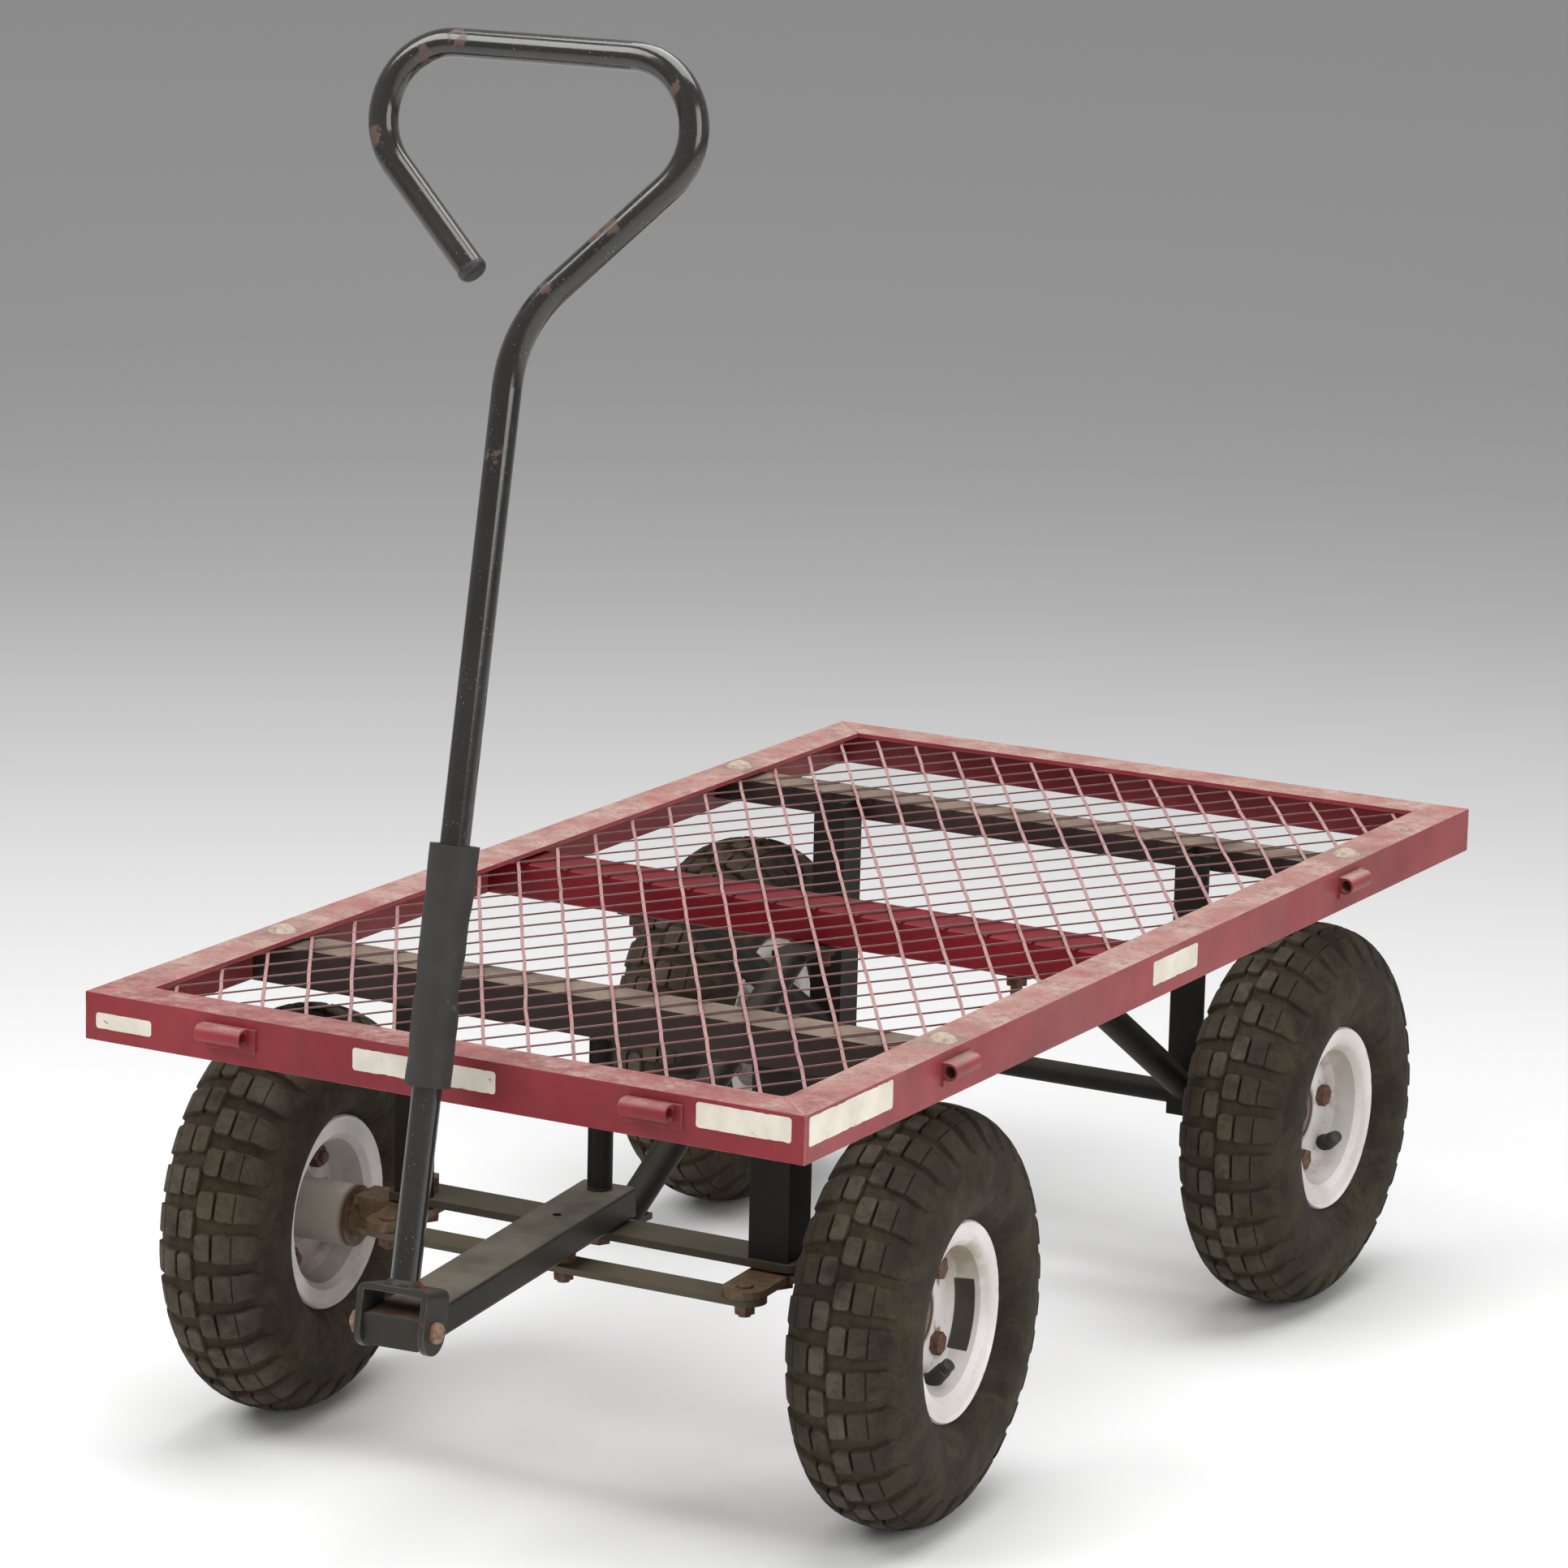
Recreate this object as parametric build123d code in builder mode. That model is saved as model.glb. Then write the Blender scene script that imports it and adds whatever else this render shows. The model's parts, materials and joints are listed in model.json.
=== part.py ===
from build123d import *
import math
import os

# Hand wagon: a mesh deck on four pneumatic wheels. The front wheels steer through a
# tongue, a tie bar and two knuckles, and the pull handle folds down at the tongue's nose.
# Millimetres, +Z up, ground at Z = 0, handle end towards -Y, right-hand side at +X.

# Deck frame of mitred angle iron
DECK_W = 508.0
DECK_L = 965.0
DECK_TOP = 312.0
RAIL = 30.0
RAIL_T = 3.0

# Expanded-metal deck, clamped under the rail flanges
MESH_T = 2.5
STRAND = 3.0
DIAMONDS_ACROSS = 10
DIAMONDS_ALONG = 13

# Wheels: 10 inch pneumatic on a bolted split rim with an offset hub
TYRE_R = 132.5
TYRE_HALF_W = 41.0
TRACK = 447.0
RIM_T = 2.0
RIM_FLANGE_R = 63.5
RIM_BARREL_R = 49.0
RIM_HALF_W = 27.0
RIM_BOLT_CIRCLE_R = 34.5
RIM_BOLTS = 4
HUB_D = 40.0
HUB_BORE = 35.0
HUB_INBOARD = 45.0
HUB_OUTBOARD = 3.0
BEARING_W = 11.0
BEARING_RECESS = 12.0
AXLE_D = 15.9
BEARING_BORE = 16.0

# Undercarriage
FRONT_AXLE = -287.0
REAR_AXLE = 275.0
CROSS_T = 3.0
FRONT_CROSS_H = 25.0
REAR_CROSS_W = 32.0
REAR_CROSS_H = 16.0
FRONT_POST = 28.0
REAR_POST = 25.0
POST_T = 3.0
KINGPIN_X = 130.0
KINGPIN_D = 12.0
REAR_POST_X = 130.0
AXLE_BAR_T = 5.0
AXLE_BAR_W = 34.0
AXLE_BAR_TOP = 157.0
MIDDLE_W = 40.0
MIDDLE_H = 25.0
MIDDLE_T = 2.5
BRACE_D = 20.0
REAR_BRACE_X = 143.5

# Steering: the linkage rests turned a little to the right-hand side
STEER = 4.0
ARM = 48.0
ARM_PLATE_T = 5.0
ARM_PLATE_BOTTOM = 145.0
TIE_W = 25.0
TIE_T = 4.0
TIE_TOP = 144.5
TIE_BOLT_D = 8.0
TONGUE_W = 38.0
TONGUE_H = 20.0
TONGUE_T = 2.5
TONGUE_KING_Z = 169.0
TONGUE_NOSE = 10.0
TONGUE_TAIL = 13.0
KING_POST_D = 16.0
KING_BOLT_D = 10.0

# Handle
PIVOT = -547.0
PIVOT_Z = 160.0
PIN_D = 8.0
LEAN = 12.5
POLE_D = 18.0
POLE_WALL = 1.5
CLEVIS_T = 4.0
CLEVIS_W = 28.0
CLEVIS_ROOF = 21.0
SLEEVE_D = 28.6
SLEEVE_FROM = 144.0
SLEEVE_TO = 288.0

# Sockets for lift-off side panels, two on each side of the deck
SOCKET_D = 11.0
SOCKET_BORE = 8.0
SOCKET_L = 32.0
SOCKET_DROP = 11.5
SOCKET_PLATE_H = 15.0
SOCKET_PLATE_L = 38.0
SOCKET_PLATE_T = 1.5

# Clearances: a running fit, and the gap between faces that turn past each other
HOLE_PLAY = 0.2
FACE_GAP = 0.3
M8_HOLE = 8.4

# The origin is on the ground, midway between the clevis and the rear sockets
steer_angle = math.radians(STEER)
ear_inner = TONGUE_W / 2 + 0.5
ear_outer = ear_inner + CLEVIS_T
clevis_reach = FRONT_AXLE - PIVOT + CLEVIS_W / 2
front_reach = clevis_reach * math.cos(steer_angle) + ear_outer * math.sin(steer_angle) - FRONT_AXLE
rear_reach = DECK_L / 2 + SOCKET_D
DECK_Y = (front_reach - rear_reach) / 2

front_axle_y = DECK_Y + FRONT_AXLE
rear_axle_y = DECK_Y + REAR_AXLE
pivot_y = DECK_Y + PIVOT
flange_under = DECK_TOP - RAIL_T
mesh_under = flange_under - MESH_T
front_cross_w = FRONT_POST + 2 * CROSS_T + 2 * HOLE_PLAY
cross_under_top = mesh_under - CROSS_T
rear_cross_y = rear_axle_y + REAR_POST / 2 + REAR_CROSS_W / 2
middle_under = mesh_under - MIDDLE_H
bolt_inset = RAIL / 2 - 1
bolt_x = DECK_W / 2 - bolt_inset
axle_z = TYRE_R
axle_bar_under = AXLE_BAR_TOP - AXLE_BAR_T
tie_y = front_axle_y - ARM
hub_inner_x = TRACK / 2 - HUB_INBOARD
hub_outer_x = TRACK / 2 + HUB_OUTBOARD
bearing_outer_x = hub_outer_x - BEARING_RECESS

os.makedirs("parts", exist_ok=True)


def save(builder, name, kingpin=None):
    """Label a finished piece and write it, turned about its kingpin's x where it steers."""
    finished = builder.part
    if kingpin is not None:
        finished = finished.rotate(Axis((kingpin, front_axle_y, 0), (0, 0, 1)), STEER)
    finished.label = name
    export_step(finished, f"parts/{name}.step")


def hexagon(plane, across_flats):
    """A hexagon of a bolt head or nut on a plane."""
    with BuildSketch(plane) as outline:
        RegularPolygon(across_flats / 2, 6, major_radius=False)
    return outline.sketch


def disc(plane, diameter, bore=0.0):
    """A round section on a plane, with a bore where one is given."""
    with BuildSketch(plane) as outline:
        Circle(diameter / 2)
        if bore:
            Circle(bore / 2, mode=Mode.SUBTRACT)
    return outline.sketch


def level(x, y, z):
    """A level plane through a point."""
    return Plane(origin=(x, y, z))


def across(x, y, z, side=1):
    """A plane through a point, facing +X, or -X for side -1."""
    return Plane(origin=(x, y, z), x_dir=(0, side, 0), z_dir=(side, 0, 0))


# Deck rails: a flange on top and a leg at the outside, both mitred at the corners
RAILS = {
    "front_rail": ((0, DECK_Y - DECK_L / 2), (1, 0), DECK_W),
    "rear_rail": ((0, DECK_Y + DECK_L / 2), (-1, 0), DECK_W),
    "right_rail": ((DECK_W / 2, DECK_Y), (0, 1), DECK_L),
    "left_rail": ((-DECK_W / 2, DECK_Y), (0, -1), DECK_L),
}


def rail_plane(middle, along):
    """A level plane on a rail's outer top edge: x along the rail, y into the deck."""
    return Plane(origin=(*middle, DECK_TOP), x_dir=(*along, 0), z_dir=(0, 0, 1))


def mitred(length, depth):
    """The corners of a strip that narrows at 45 degrees towards the inside."""
    half = length / 2
    return [(-half, 0), (half, 0), (half - depth, depth), (depth - half, depth)]


for name, (middle, along, length) in RAILS.items():
    plane = rail_plane(middle, along)
    with BuildPart() as rail:
        with BuildSketch(plane):
            Polygon(*mitred(length, RAIL), align=None)
        extrude(amount=-RAIL_T)
        with BuildSketch(plane):
            Polygon(*mitred(length, RAIL_T), align=None)
        extrude(amount=-RAIL)
        if length == DECK_L:
            along_y = along[1]
            bolt_places = [
                (along_y * (front_axle_y - DECK_Y), bolt_inset),
                (along_y * (rear_cross_y - DECK_Y), bolt_inset),
            ]
            with BuildSketch(plane):
                with Locations(*bolt_places):
                    Circle(M8_HOLE / 2)
            extrude(amount=-RAIL_T, mode=Mode.SUBTRACT)
    save(rail, name)

# Expanded-metal deck: one sheet with staggered diamonds inside the flanges' window
window_w = DECK_W - 2 * RAIL
window_l = DECK_L - 2 * RAIL
pitch_x = window_w / DIAMONDS_ACROSS
pitch_y = window_l / DIAMONDS_ALONG
to_strand = pitch_x * pitch_y / 2 / math.hypot(pitch_x, pitch_y)
open_share = 1 - STRAND / 2 / to_strand
half_x = open_share * pitch_x / 2
half_y = open_share * pitch_y / 2
diamond_places = [
    ((column - DIAMONDS_ACROSS) * pitch_x / 2, (row - DIAMONDS_ALONG) * pitch_y / 2)
    for column in range(2 * DIAMONDS_ACROSS + 1)
    for row in range(2 * DIAMONDS_ALONG + 1)
    if (column + row) % 2 == 0
]
sheet_margin = RAIL_T + 1.0
with BuildPart() as deck_mesh:
    with BuildSketch(level(0, DECK_Y, mesh_under)):
        Rectangle(DECK_W - 2 * sheet_margin, DECK_L - 2 * sheet_margin)
        with Locations(
            *[(sx * bolt_x, y - DECK_Y) for sx in (-1, 1) for y in (front_axle_y, rear_cross_y)]
        ):
            Circle(M8_HOLE / 2, mode=Mode.SUBTRACT)
    extrude(amount=MESH_T)
    with BuildSketch(level(0, DECK_Y, mesh_under)):
        with Locations(*diamond_places):
            Polygon((half_x, 0), (0, half_y), (-half_x, 0), (0, -half_y))
        Rectangle(window_w, window_l, mode=Mode.INTERSECT)
    extrude(amount=MESH_T, mode=Mode.SUBTRACT)
save(deck_mesh, "deck_mesh")

# Middle cross tube under the mesh, between the side rails
cross_length = DECK_W - 2 * RAIL_T
brace_bolt_places = [(x, DECK_Y) for x in (-REAR_BRACE_X, 0, REAR_BRACE_X)]
with BuildPart() as middle_cross_tube:
    with BuildSketch(across(0, DECK_Y, mesh_under - MIDDLE_H / 2)):
        RectangleRounded(MIDDLE_W, MIDDLE_H, MIDDLE_T)
        Rectangle(MIDDLE_W - 2 * MIDDLE_T, MIDDLE_H - 2 * MIDDLE_T, mode=Mode.SUBTRACT)
    extrude(amount=cross_length / 2, both=True)
    with BuildSketch(level(0, 0, middle_under)):
        with Locations(*brace_bolt_places):
            Circle(M8_HOLE / 2)
    extrude(amount=MIDDLE_T, mode=Mode.SUBTRACT)
save(middle_cross_tube, "middle_cross_tube")

# Front and rear cross members: channels open below, bolted up under the side rails
CROSS_MEMBERS = {
    "front_cross_member": (front_axle_y, front_cross_w, FRONT_CROSS_H),
    "rear_cross_member": (rear_cross_y, REAR_CROSS_W, REAR_CROSS_H),
}
for name, (y, width, height) in CROSS_MEMBERS.items():
    with BuildPart() as cross_member:
        with BuildSketch(across(0, y, mesh_under)):
            with Locations((0, -height / 2)):
                Rectangle(width, height)
            with Locations((0, -CROSS_T - height / 2)):
                Rectangle(width - 2 * CROSS_T, height, mode=Mode.SUBTRACT)
        extrude(amount=cross_length / 2, both=True)
        with BuildSketch(level(0, y, mesh_under)):
            with Locations((-bolt_x, 0), (bolt_x, 0)):
                Circle(M8_HOLE / 2)
        extrude(amount=-CROSS_T, mode=Mode.SUBTRACT)
    save(cross_member, name)

# Front posts: angle iron with the corner outside in front, standing on the axle bar
for side, name in ((-1, "front_left_post"), (1, "front_right_post")):
    corner = level(side * (KINGPIN_X + FRONT_POST / 2), front_axle_y - FRONT_POST / 2, AXLE_BAR_TOP)
    with BuildPart() as front_post:
        with BuildSketch(corner):
            with Locations((-side * FRONT_POST / 2, FRONT_POST / 2)):
                Rectangle(FRONT_POST, FRONT_POST)
            with Locations((-side * (POST_T + FRONT_POST / 2), POST_T + FRONT_POST / 2)):
                Rectangle(FRONT_POST, FRONT_POST, mode=Mode.SUBTRACT)
        extrude(amount=cross_under_top - AXLE_BAR_TOP)
    save(front_post, name)

# Rear posts: angle iron with the corner inside in front, the axle passing through one leg
post_foot = axle_z - REAR_POST / 2
for side, name in ((-1, "rear_left_post"), (1, "rear_right_post")):
    corner = level(side * REAR_POST_X, rear_axle_y - REAR_POST / 2, post_foot)
    with BuildPart() as rear_post:
        with BuildSketch(corner):
            with Locations((side * REAR_POST / 2, REAR_POST / 2)):
                Rectangle(REAR_POST, REAR_POST)
            with Locations((side * (POST_T + REAR_POST / 2), POST_T + REAR_POST / 2)):
                Rectangle(REAR_POST, REAR_POST, mode=Mode.SUBTRACT)
        extrude(amount=mesh_under - post_foot)
        axle_hole = across(side * REAR_POST_X, rear_axle_y, axle_z, side)
        extrude(disc(axle_hole, AXLE_D + 2 * HOLE_PLAY), amount=POST_T, mode=Mode.SUBTRACT)
    save(rear_post, name)

# Front axle bar: flat bar that ties the post feet, with a tab under its back edge for the brace
BAR_OVERHANG = 20.0
TAB_W = 18.0
TAB_L = 34.0
TAB_LAP = 6.0
TAB_T = 4.0
axle_bar_back = front_axle_y + AXLE_BAR_W / 2
with BuildPart() as front_axle_bar:
    with BuildSketch(level(0, front_axle_y, axle_bar_under)):
        RectangleRounded(2 * (KINGPIN_X + BAR_OVERHANG), AXLE_BAR_W, AXLE_BAR_W / 4)
        with Locations((-KINGPIN_X, 0), (KINGPIN_X, 0)):
            Circle(KINGPIN_D / 2 + HOLE_PLAY / 2, mode=Mode.SUBTRACT)
        Circle(KING_BOLT_D / 2 + HOLE_PLAY / 2, mode=Mode.SUBTRACT)
    extrude(amount=AXLE_BAR_T)
    with BuildSketch(level(0, axle_bar_back + (TAB_L - TAB_LAP) / 2, axle_bar_under)):
        Rectangle(TAB_W, TAB_L + TAB_LAP)
    extrude(amount=-TAB_T)
save(front_axle_bar, "front_axle_bar")

# Axle ends: thrust collar inboard of the hub, then a washer and a cotter pin inside its mouth
COLLAR_D = 26.0
COLLAR_T = 6.0
WASHER_D = 28.0
WASHER_T = 3.0
COTTER_D = 3.6
COTTER_L = 24.0
COTTER_HEAD_D = 6.0
COTTER_OFFSET = 7.5
AXLE_END = 13.5
collar_face = hub_inner_x - FACE_GAP
washer_face = bearing_outer_x + FACE_GAP
axle_end_x = bearing_outer_x + AXLE_END
cotter_x = bearing_outer_x + COTTER_OFFSET


def cotter_hole(side, y):
    """The upright hole through an axle's end, as a section to cut."""
    return disc(level(side * cotter_x, y, axle_z - AXLE_D), COTTER_D + HOLE_PLAY)


with BuildPart() as rear_axle:
    extrude(disc(across(-axle_end_x, rear_axle_y, axle_z), AXLE_D), amount=2 * axle_end_x)
    for side in (-1, 1):
        collar = across(side * collar_face, rear_axle_y, axle_z, side)
        extrude(disc(collar, COLLAR_D), amount=-COLLAR_T)
        extrude(cotter_hole(side, rear_axle_y), amount=2 * AXLE_D, mode=Mode.SUBTRACT)
save(rear_axle, "rear_axle")


def add_axle_pin(side, y):
    """The washer and cotter pin that keep a wheel on its axle."""
    washer = across(side * washer_face, y, axle_z, side)
    extrude(disc(washer, WASHER_D, AXLE_D + HOLE_PLAY), amount=WASHER_T)
    extrude(disc(level(side * cotter_x, y, axle_z - COTTER_L / 2), COTTER_D), amount=COTTER_L)
    with Locations((side * cotter_x, y, axle_z + COTTER_L / 2)):
        Sphere(COTTER_HEAD_D / 2)


with BuildPart() as rear_axle_pins:
    for side in (-1, 1):
        add_axle_pin(side, rear_axle_y)
save(rear_axle_pins, "rear_axle_pins")

# King post and king bolt: the upright that the tongue turns under
BUSH_D = KING_POST_D
KING_HEAD_FLATS = 14.0
KING_HEAD_H = 8.0
KING_BOLT_L = 75.0
bush_top = TONGUE_KING_Z + TONGUE_H / 2 + 2.0
bush_bottom = AXLE_BAR_TOP + FACE_GAP
king_post_foot = bush_top + FACE_GAP
with BuildPart() as king_post:
    king_section = disc(level(0, front_axle_y, king_post_foot), KING_POST_D, KING_BOLT_D + HOLE_PLAY)
    extrude(king_section, amount=cross_under_top - king_post_foot)
save(king_post, "king_post")

with BuildPart() as king_bolt:
    extrude(hexagon(level(0, front_axle_y, axle_bar_under), KING_HEAD_FLATS), amount=-KING_HEAD_H)
    extrude(disc(level(0, front_axle_y, axle_bar_under), KING_BOLT_D), amount=KING_BOLT_L)
save(king_bolt, "king_bolt")

# Kingpins: a bolt up through each knuckle and the axle bar, with its nut inside the post
KINGPIN_FLATS = 18.0
KINGPIN_HEAD_H = 7.0
KINGPIN_NUT_H = 9.5
kingpin_head_top = ARM_PLATE_BOTTOM - FACE_GAP
with BuildPart() as kingpins:
    for side in (-1, 1):
        seat = level(side * KINGPIN_X, front_axle_y, kingpin_head_top)
        extrude(hexagon(seat, KINGPIN_FLATS), amount=-KINGPIN_HEAD_H)
        extrude(disc(seat, KINGPIN_D), amount=AXLE_BAR_TOP + KINGPIN_NUT_H + 2 - kingpin_head_top)
        nut_seat = level(side * KINGPIN_X, front_axle_y, AXLE_BAR_TOP)
        extrude(hexagon(nut_seat, KINGPIN_FLATS), amount=KINGPIN_NUT_H)
save(kingpins, "kingpins")

# Braces: round bars from the undercarriage up to tabs bolted under the middle tube
BRACE_TAB_T = 4.0
BRACE_TAB_W = 26.0
BRACE_TAB_REACH = 14.0
BRACE_BEND = 42.0
REAR_BRACE_FOOT_Z = 141.0
FRONT_BRACE_SET = 14.0
brace_top = middle_under - BRACE_TAB_T / 2
front_brace_foot = (0, axle_bar_back + FRONT_BRACE_SET, axle_bar_under)
BRACES = {
    "front_brace": (front_brace_foot, -1),
    "rear_left_brace": ((-REAR_BRACE_X, rear_axle_y - REAR_POST / 2, REAR_BRACE_FOOT_Z), 1),
    "rear_right_brace": ((REAR_BRACE_X, rear_axle_y - REAR_POST / 2, REAR_BRACE_FOOT_Z), 1),
}
for name, (foot, end) in BRACES.items():
    head = Vector(foot[0], DECK_Y + end * BRACE_BEND, brace_top)
    slant = head - Vector(*foot)
    overrun = BRACE_D
    bar_plane = Plane(origin=Vector(*foot) - slant.normalized() * overrun, z_dir=slant)
    with BuildPart() as brace:
        extrude(disc(bar_plane, BRACE_D), amount=slant.length + 2 * overrun)
        if end < 0:
            split(bisect_by=level(0, 0, foot[2]), keep=Keep.TOP)
            split(bisect_by=Plane(origin=(0, axle_bar_back, 0), z_dir=(0, 1, 0)), keep=Keep.TOP)
        else:
            split(bisect_by=Plane(origin=foot, z_dir=(0, -1, 0)), keep=Keep.TOP)
        split(bisect_by=level(0, 0, middle_under), keep=Keep.BOTTOM)
        with BuildSketch(level(foot[0], DECK_Y, middle_under)):
            with Locations((0, end * (BRACE_BEND + BRACE_TAB_REACH) / 2 - end * BRACE_TAB_REACH / 2)):
                Rectangle(BRACE_TAB_W, BRACE_BEND + BRACE_TAB_REACH)
            Circle(M8_HOLE / 2, mode=Mode.SUBTRACT)
        extrude(amount=-BRACE_TAB_T)
    save(brace, name)

# M8 fasteners: brace bolts with their nuts below, and carriage bolts down through the side rails
M8 = 8.0
M8_FLATS = 13.0
M8_HEAD_H = 5.5
M8_NUT_H = 6.5
M8_TAIL = 3.0
BRACE_BOLT_TAIL = 8.0
brace_tab_under = middle_under - BRACE_TAB_T
with BuildPart() as brace_bolts:
    for x, y in brace_bolt_places:
        seat = level(x, y, middle_under + MIDDLE_T)
        grip = BRACE_TAB_T + MIDDLE_T
        extrude(hexagon(seat, M8_FLATS), amount=M8_HEAD_H)
        extrude(disc(seat, M8), amount=-grip - M8_NUT_H - BRACE_BOLT_TAIL)
        extrude(hexagon(level(x, y, brace_tab_under), M8_FLATS), amount=-M8_NUT_H)
save(brace_bolts, "brace_bolts")

DOME_D = 19.0
DOME_H = 4.5
dome_radius = (DOME_D**2 / 4 + DOME_H**2) / (2 * DOME_H)
carriage_grip = RAIL_T + MESH_T + CROSS_T
with BuildPart() as carriage_bolts:
    for x in (-bolt_x, bolt_x):
        for y in (front_axle_y, rear_cross_y):
            with BuildSketch(Plane(origin=(x, y, DECK_TOP), x_dir=(1, 0, 0), z_dir=(0, -1, 0))):
                with BuildLine():
                    RadiusArc((DOME_D / 2, 0), (0, DOME_H), -dome_radius)
                    Polyline((0, DOME_H), (0, 0), (DOME_D / 2, 0))
                make_face()
            revolve(axis=Axis((x, y, DECK_TOP), (0, 0, 1)))
            extrude(disc(level(x, y, DECK_TOP), M8), amount=-carriage_grip - M8_NUT_H - M8_TAIL)
            extrude(hexagon(level(x, y, cross_under_top), M8_FLATS), amount=-M8_NUT_H)
save(carriage_bolts, "carriage_bolts")

# Side-panel sockets: a short tube on a small plate, welded to the outside of the rails
SOCKET_X = 150.0
SOCKET_FRONT_Y = -298.0
SOCKET_REAR_Y = 277.0
SOCKET_PLACES = {
    "front_rail": (-SOCKET_X, SOCKET_X),
    "rear_rail": (-SOCKET_X, SOCKET_X),
    "right_rail": (SOCKET_FRONT_Y, SOCKET_REAR_Y),
    "left_rail": (-SOCKET_FRONT_Y, -SOCKET_REAR_Y),
}
with BuildPart() as latch_sockets:
    for name, places in SOCKET_PLACES.items():
        middle, along, _ = RAILS[name]
        face = rail_plane(middle, along)
        for place in places:
            start = face.from_local_coords((place - SOCKET_L / 2, -SOCKET_D / 2, -SOCKET_DROP))
            section = Plane(origin=start, x_dir=face.y_dir, z_dir=face.x_dir)
            with BuildSketch(section):
                Circle(SOCKET_D / 2)
                with Locations((SOCKET_D / 4, 0)):
                    Rectangle(SOCKET_D / 2, SOCKET_D)
                Circle(SOCKET_BORE / 2, mode=Mode.SUBTRACT)
            extrude(amount=SOCKET_L)
            with BuildSketch(section):
                with Locations(((SOCKET_D - SOCKET_PLATE_T) / 2, (SOCKET_D - SOCKET_PLATE_H) / 2)):
                    Rectangle(SOCKET_PLATE_T, SOCKET_PLATE_H)
            extrude(amount=SOCKET_PLATE_L)
save(latch_sockets, "latch_sockets")

# Tongue: a rectangular tube that slopes down to the handle pivot, with an upright bush
tongue_run = front_axle_y - pivot_y
tongue_slope = math.atan2(TONGUE_KING_Z - PIVOT_Z, tongue_run)
tongue_dir = Vector(0, -math.cos(tongue_slope), -math.sin(tongue_slope))
tongue_length = math.hypot(tongue_run, TONGUE_KING_Z - PIVOT_Z) + TONGUE_TAIL + TONGUE_NOSE
tongue_tail = Vector(0, front_axle_y, TONGUE_KING_Z) - tongue_dir * TONGUE_TAIL
tongue_plane = Plane(origin=tongue_tail, x_dir=(1, 0, 0), z_dir=tongue_dir)
NOSE_PLATE_T = 3.0
DRAIN_HOLE_D = 6.0
drain_y = tie_y - 10
with BuildPart() as tongue:
    with BuildSketch(tongue_plane):
        RectangleRounded(TONGUE_W, TONGUE_H, TONGUE_T)
    extrude(amount=tongue_length)
    with BuildSketch(tongue_plane):
        Rectangle(TONGUE_W - 2 * TONGUE_T, TONGUE_H - 2 * TONGUE_T)
    extrude(amount=tongue_length - NOSE_PLATE_T, mode=Mode.SUBTRACT)
    extrude(disc(level(0, front_axle_y, bush_bottom), BUSH_D), amount=bush_top - bush_bottom)
    king_hole = disc(level(0, front_axle_y, bush_bottom), KING_BOLT_D + HOLE_PLAY)
    extrude(king_hole, amount=bush_top - bush_bottom, mode=Mode.SUBTRACT)
    pin_hole = disc(across(-TONGUE_W / 2, pivot_y, PIVOT_Z), PIN_D + HOLE_PLAY)
    extrude(pin_hole, amount=TONGUE_W, mode=Mode.SUBTRACT)
    tie_hole = disc(level(0, tie_y, TONGUE_KING_Z), TIE_BOLT_D + HOLE_PLAY)
    extrude(tie_hole, amount=-TONGUE_H, mode=Mode.SUBTRACT)
    extrude(disc(level(0, drain_y, TONGUE_KING_Z), DRAIN_HOLE_D), amount=TONGUE_H, mode=Mode.SUBTRACT)
save(tongue, "tongue", 0)

# Tie pivot: a shoulder bolt from inside the tongue down to the tie bar, with its nut
TIE_FLATS = 12.0
TIE_HEAD_H = 5.0
TIE_NUT_H = 7.0
SHOULDER_D = 15.0
tongue_drop = ARM * math.tan(tongue_slope)
tongue_floor = TONGUE_KING_Z - tongue_drop - TONGUE_H / 2 + TONGUE_T
slope_rise = TIE_FLATS / 2 * math.tan(tongue_slope) + FACE_GAP
tie_head_seat = tongue_floor + slope_rise
shoulder_top = tongue_floor - TONGUE_T - slope_rise
shoulder_bottom = TIE_TOP + FACE_GAP
tie_nut_top = TIE_TOP - TIE_T - FACE_GAP
tie_bolt_end = tie_nut_top - TIE_NUT_H - 2
with BuildPart() as tie_pivot_bolt:
    extrude(hexagon(level(0, tie_y, tie_head_seat), TIE_FLATS), amount=TIE_HEAD_H)
    extrude(disc(level(0, tie_y, tie_bolt_end), TIE_BOLT_D), amount=tie_head_seat - tie_bolt_end)
    shoulder = disc(level(0, tie_y, shoulder_bottom), SHOULDER_D)
    extrude(shoulder, amount=shoulder_top - shoulder_bottom)
    extrude(hexagon(level(0, tie_y, tie_nut_top), TIE_FLATS), amount=-TIE_NUT_H)
save(tie_pivot_bolt, "tie_pivot_bolt", 0)

# Tie bar: one flat bar that keeps the tongue and both knuckles parallel
TIE_END = 14.0
tie_bar_x = ARM * math.sin(steer_angle)
tie_bar_y = front_axle_y - ARM * math.cos(steer_angle)
with BuildPart() as tie_bar:
    with BuildSketch(level(tie_bar_x, tie_bar_y, TIE_TOP - TIE_T)):
        SlotOverall(2 * (KINGPIN_X + TIE_END), TIE_W)
        with Locations((-KINGPIN_X, 0), (0, 0), (KINGPIN_X, 0)):
            Circle(TIE_BOLT_D / 2 + HOLE_PLAY / 2, mode=Mode.SUBTRACT)
    extrude(amount=TIE_T)
save(tie_bar, "tie_bar")

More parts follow.
